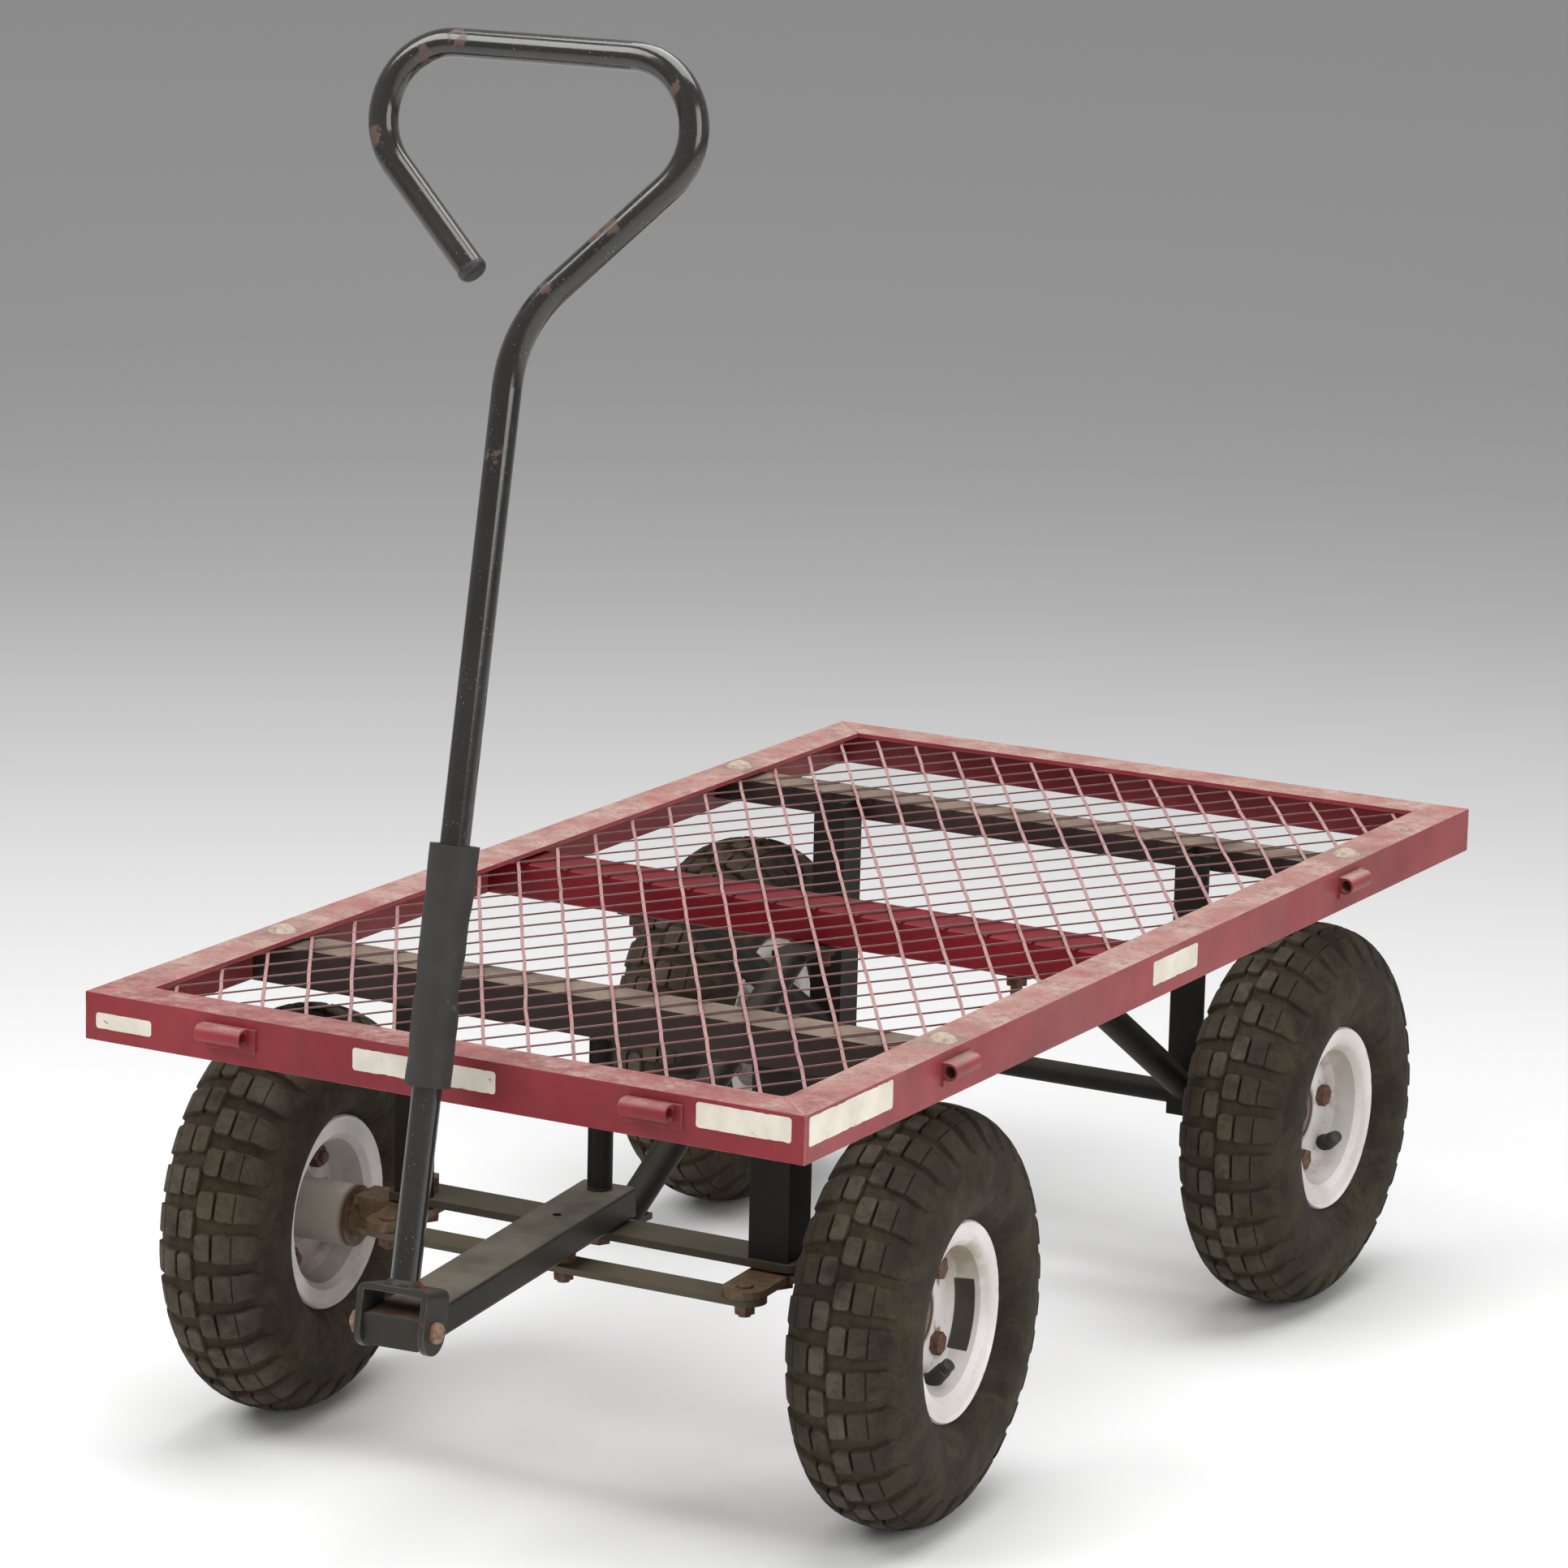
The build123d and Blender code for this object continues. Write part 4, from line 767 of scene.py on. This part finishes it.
def sleeve_radius(along, angle):
    """The sleeve's outer radius at a height and a direction, with its dents."""
    t = (along - SLEEVE_FROM) / (SLEEVE_TO - SLEEVE_FROM)
    r = SLEEVE_LOW_R + (SLEEVE_TOP_R - SLEEVE_LOW_R) * t
    r += 0.0005 * noise.noise((40 * along, 1.5 * math.cos(angle), 1.5 * math.sin(angle)))
    for place, towards, depth in DENTS:
        swing = math.cos(angle - towards)
        if swing > 0:
            r -= depth * swing ** 4 * math.exp(-(((along - place) / DENT_SPREAD) ** 2))
    return r


def sleeve_piece():
    """The sleeve as a closed skin, open along the middle for the pole."""
    around, rings = 48, 72
    rows = []
    for i in range(rings + 1):
        along = SLEEVE_FROM + (SLEEVE_TO - SLEEVE_FROM) * i / rings
        rows.append([(along, sleeve_radius(along, 2 * math.pi * k / around)) for k in range(around)])
    inner_low = [(SLEEVE_FROM + SLEEVE_LIP, SLEEVE_BORE_R)] * around
    inner_top = [(SLEEVE_TO - SLEEVE_LIP, SLEEVE_BORE_R)] * around
    rows = [inner_low] + rows + [inner_top]
    verts = []
    for row in rows:
        for k, (along, r) in enumerate(row):
            angle = 2 * math.pi * k / around
            verts.append(on_handle(r * math.cos(angle), along, r * math.sin(angle)))
    faces = grid_faces(len(rows), around, True, True)
    obj = piece("foam_sleeve_skin", verts, faces, foam_skin, "handle", 40)
    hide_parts("foam_sleeve")


sleeve_piece()


def turned(name, profile, origin, axis, look, body, around=24, smooth=40):
    """A piece turned about an axis from (along, radius) pairs, closed at both ends."""
    axis = Vector(axis).normalized()
    side = axis.orthogonal().normalized()
    other = axis.cross(side)
    verts = []
    for along, r in profile:
        for k in range(around):
            angle = 2 * math.pi * k / around
            ring = side * math.cos(angle) + other * math.sin(angle)
            verts.append(Vector(origin) + axis * along + ring * r)
    faces = grid_faces(len(profile), around, False, True)
    faces.append(tuple(range(around)))
    faces.append(tuple((len(profile) - 1) * around + k for k in reversed(range(around))))
    piece(name, verts, faces, look, body, smooth)


# Weld: a ring where the pole meets the clevis, and a bead along each of the deck's mitres
WELD_PROFILE = [(-0.0004, 0.0120), (0.0010, 0.0118), (0.0026, 0.0104), (0.0038, POLE_R + 0.0002)]
WELD_INSET = 0.001
WELD_RIDGE = [(-0.0016, -0.0003), (-0.0008, 0.0005), (0.0008, 0.0005), (0.0016, -0.0003)]
pole_way = steering(0.0).to_3x3() @ UP_POLE
turned("pole_weld", WELD_PROFILE, on_handle(0, CLEVIS_TOP), pole_way, weld_paint, "handle")


def mitre_beads():
    """Four low ridges from the deck's outer corners in to the corners of its window."""
    verts, faces, steps = [], [], 24
    for sx, sy in ((-1, -1), (1, -1), (1, 1), (-1, 1)):
        outer, inner = (
            Vector((sx * (DECK_W / 2 - inset), DECK_Y + sy * (DECK_L / 2 - inset), DECK_TOP))
            for inset in (WELD_INSET, RAIL - WELD_INSET)
        )
        across = (inner - outer).cross(Vector((0, 0, 1))).normalized()
        first = len(verts)
        for i in range(steps + 1):
            spot = outer.lerp(inner, i / steps)
            swell = 1 + 0.6 * noise.noise((300 * spot.x, 300 * spot.y, 5.0))
            for wide, high in WELD_RIDGE:
                lift = high * swell if high > 0 else high
                verts.append(spot + across * wide * swell + Vector((0, 0, lift)))
        faces += [tuple(first + k for k in face) for face in grid_faces(steps + 1, 4, False, True)]
        faces += [tuple(first + k for k in (0, 1, 2, 3)), tuple(first + 4 * steps + k for k in (3, 2, 1, 0))]
    piece("mitre_beads", verts, faces, bead_paint, "deck", 60)


mitre_beads()

# Valve stems: rubber stems through the outer rim half, leaning in over the hub
VALVE_R, VALVE_FOOT = 0.0475, 0.0060
VALVE_OUTWARD, VALVE_INWARD = 0.66, 0.75
VALVE_TURN = {"front_left": 200, "front_right": 284, "rear_left": 60, "rear_right": 320}
VALVE_PROFILE = [
    (0.0000, 0.0068), (0.0020, 0.0068), (0.0040, 0.0056), (0.0160, 0.0050), (0.0165, 0.0043),
    (0.0215, 0.0043), (0.0220, 0.0036),
]
for wheel, (side, place) in WHEELS.items():
    turn = math.radians(VALVE_TURN[wheel])
    out = Vector((0, math.cos(turn), math.sin(turn)))
    foot = place @ (Vector((side * VALVE_FOOT, 0, 0)) + out * VALVE_R)
    lean = place.to_3x3() @ (Vector((side, 0, 0)) * VALVE_OUTWARD - out * VALVE_INWARD)
    turned(f"{wheel}_valve", VALVE_PROFILE, foot, lean, plastic, f"{wheel}_wheel")

# Blank paper patches on the rails' outer faces, each between a low and a high corner
PATCH_T, PATCH_CORNER, PATCH_STEP, PATCH_NICK = 0.0003, 0.002, 0.003, 0.0009


def patch(name, low, high, face_axis):
    """A thin blank sticker with rounded corners and nicked edges, flat on a rail's outer face."""
    a, b = Vector(low), Vector(high)
    flat = 0 if face_axis == 1 else 1
    out = -1 if face_axis == 1 else 1
    r, outline = PATCH_CORNER, []
    low_u, high_u, low_v, high_v = a[flat] + r, b[flat] - r, a.z + r, b.z - r
    corners = [(high_u, high_v, 0), (low_u, high_v, 90), (low_u, low_v, 180), (high_u, low_v, 270)]
    for (u, v, start), (next_u, next_v, _) in zip(corners, corners[1:] + corners[:1]):
        for step in range(4):
            angle = math.radians(start + 30 * step)
            outline.append((u + r * math.cos(angle), v + r * math.sin(angle)))
        last = Vector(outline[-1])
        turn = math.radians(start + 90)
        following = Vector((next_u + r * math.cos(turn), next_v + r * math.sin(turn)))
        pieces = max(2, int((following - last).length / PATCH_STEP))
        for step in range(1, pieces):
            spot = last.lerp(following, step / pieces)
            nick = PATCH_NICK * max(0.0, noise.noise((260 * spot.x, 260 * spot.y, 9.0 + a.y)))
            inward = -Vector((math.cos(turn), math.sin(turn))) * nick
            outline.append(tuple(spot + inward))
    verts = []
    for lift in (0.0, PATCH_T * out):
        for u, v in outline:
            spot = Vector((0, 0, v))
            spot[flat] = u
            spot[face_axis] = a[face_axis] + lift
            verts.append(spot)
    n = len(outline)
    faces = [tuple(range(n)), tuple(range(2 * n - 1, n - 1, -1))]
    faces += [(k, (k + 1) % n, n + (k + 1) % n, n + k) for k in range(n)]
    piece(name, verts, faces, paper, "deck")


FRONT_FACE = DECK_Y - DECK_L / 2
RIGHT_FACE = DECK_W / 2
patch("patch_front_left", (-0.246, FRONT_FACE, 0.290), (-0.205, FRONT_FACE, 0.300), 1)
patch("patch_front_middle", (-0.058, FRONT_FACE, 0.292), (0.043, FRONT_FACE, 0.306), 1)
patch("patch_front_right", (0.181, FRONT_FACE, 0.294), (0.245, FRONT_FACE, 0.3095), 1)
patch("patch_right_front", (RIGHT_FACE, DECK_Y - 0.478, 0.292), (RIGHT_FACE, DECK_Y - 0.376, 0.310), 0)
patch("patch_right_middle", (RIGHT_FACE, DECK_Y - 0.025, 0.291), (RIGHT_FACE, DECK_Y + 0.040, 0.307), 0)

# The section of the blank patch inside a rim, as (x, radius)
RIM_PATCH = [
    (0.0066, 0.0449), (0.0088, 0.0457), (0.0195, 0.0469),
    (0.0195, 0.0466), (0.0090, 0.0453), (0.0068, 0.0445),
]


def rim_patch(name, wheel, from_turn, to_turn):
    """A thin blank sticker that follows the inside of a rim's barrel."""
    side, place = WHEELS[wheel]
    verts, steps = [], 20
    for i in range(steps + 1):
        turn = math.radians(from_turn + (to_turn - from_turn) * i / steps)
        for x, r in RIM_PATCH:
            verts.append(place @ Vector((side * x, r * math.cos(turn), r * math.sin(turn))))
    ring = len(RIM_PATCH)
    faces = grid_faces(steps + 1, ring, False, True)
    faces += [tuple(range(ring)), tuple(ring * steps + k for k in reversed(range(ring)))]
    piece(name, verts, faces, dark_label, f"{wheel}_wheel", 30)


rim_patch("patch_front_right_rim", "front_right", -40, 18)

# Camera: fitted to the photograph's deck corners and wheels
YAW, PITCH, ROLL = math.radians(28.32), math.radians(13.17), math.radians(1.51)
FOCAL_PX, PHOTO_PX = 7773.0, 1932.0
CENTRE_PX = (1068.0, 1031.0)
camera_at = Vector((1.950, -3.564 + DECK_Y, 1.302))
back = Vector((math.sin(YAW) * math.cos(PITCH), -math.cos(YAW) * math.cos(PITCH), math.sin(PITCH)))
level_right = Vector((math.cos(YAW), math.sin(YAW), 0))
level_up = back.cross(level_right)
right = level_right * math.cos(ROLL) + level_up * math.sin(ROLL)
up = level_up * math.cos(ROLL) - level_right * math.sin(ROLL)
camera_data = bpy.data.cameras.new("camera")
camera_data.sensor_width = 36.0
camera_data.lens = FOCAL_PX / PHOTO_PX * camera_data.sensor_width
camera_data.shift_x = (PHOTO_PX / 2 - CENTRE_PX[0]) / PHOTO_PX
camera_data.shift_y = (CENTRE_PX[1] - PHOTO_PX / 2) / PHOTO_PX
camera_data.clip_end = 60.0
camera = bpy.data.objects.new("camera", camera_data)
camera.matrix_world = Matrix.Translation(camera_at) @ Matrix((right, up, back)).transposed().to_4x4()
bpy.context.scene.collection.objects.link(camera)
bpy.context.scene.camera = camera

# Floor and soft studio light
FLOOR_HALF = 40.0
STUDIO_GREY, STUDIO_STRENGTH = 0.92, 0.48
floor_corners = [(x * FLOOR_HALF, y * FLOOR_HALF, 0) for x, y in ((-1, -1), (1, -1), (1, 1), (-1, 1))]
floor_mesh = bpy.data.meshes.new("floor")
floor_mesh.from_pydata(floor_corners, [], [(0, 1, 2, 3)])
floor_mesh.materials.append(floor_paint())
floor = bpy.data.objects.new("floor", floor_mesh)
bpy.context.scene.collection.objects.link(floor)


def area_light(name, at, aim, size, power):
    """A soft rectangular lamp that looks at a point."""
    data = bpy.data.lights.new(name, "AREA")
    data.shape = "RECTANGLE"
    data.size, data.size_y = size
    data.energy = power
    lamp = bpy.data.objects.new(name, data)
    lamp.location = at
    lamp.rotation_euler = (Vector(aim) - Vector(at)).to_track_quat("-Z", "Y").to_euler()
    bpy.context.scene.collection.objects.link(lamp)


area_light("key_light", (-1.8, -2.2, 3.2), (0, 0, 0.3), (2.4, 2.0), 95)
area_light("fill_light", (3.0, -1.2, 1.8), (0, 0, 0.3), (2.0, 2.0), 48)
area_light("top_light", (0.2, 0.6, 3.4), (0, 0, 0.2), (3.0, 3.0), 128)
world = bpy.data.worlds.new("studio")
world.use_nodes = True
background = world.node_tree.nodes["Background"]
background.inputs["Color"].default_value = (STUDIO_GREY, STUDIO_GREY, STUDIO_GREY, 1.0)
background.inputs["Strength"].default_value = STUDIO_STRENGTH
bpy.context.scene.world = world
bpy.context.scene.view_settings.view_transform = "Standard"
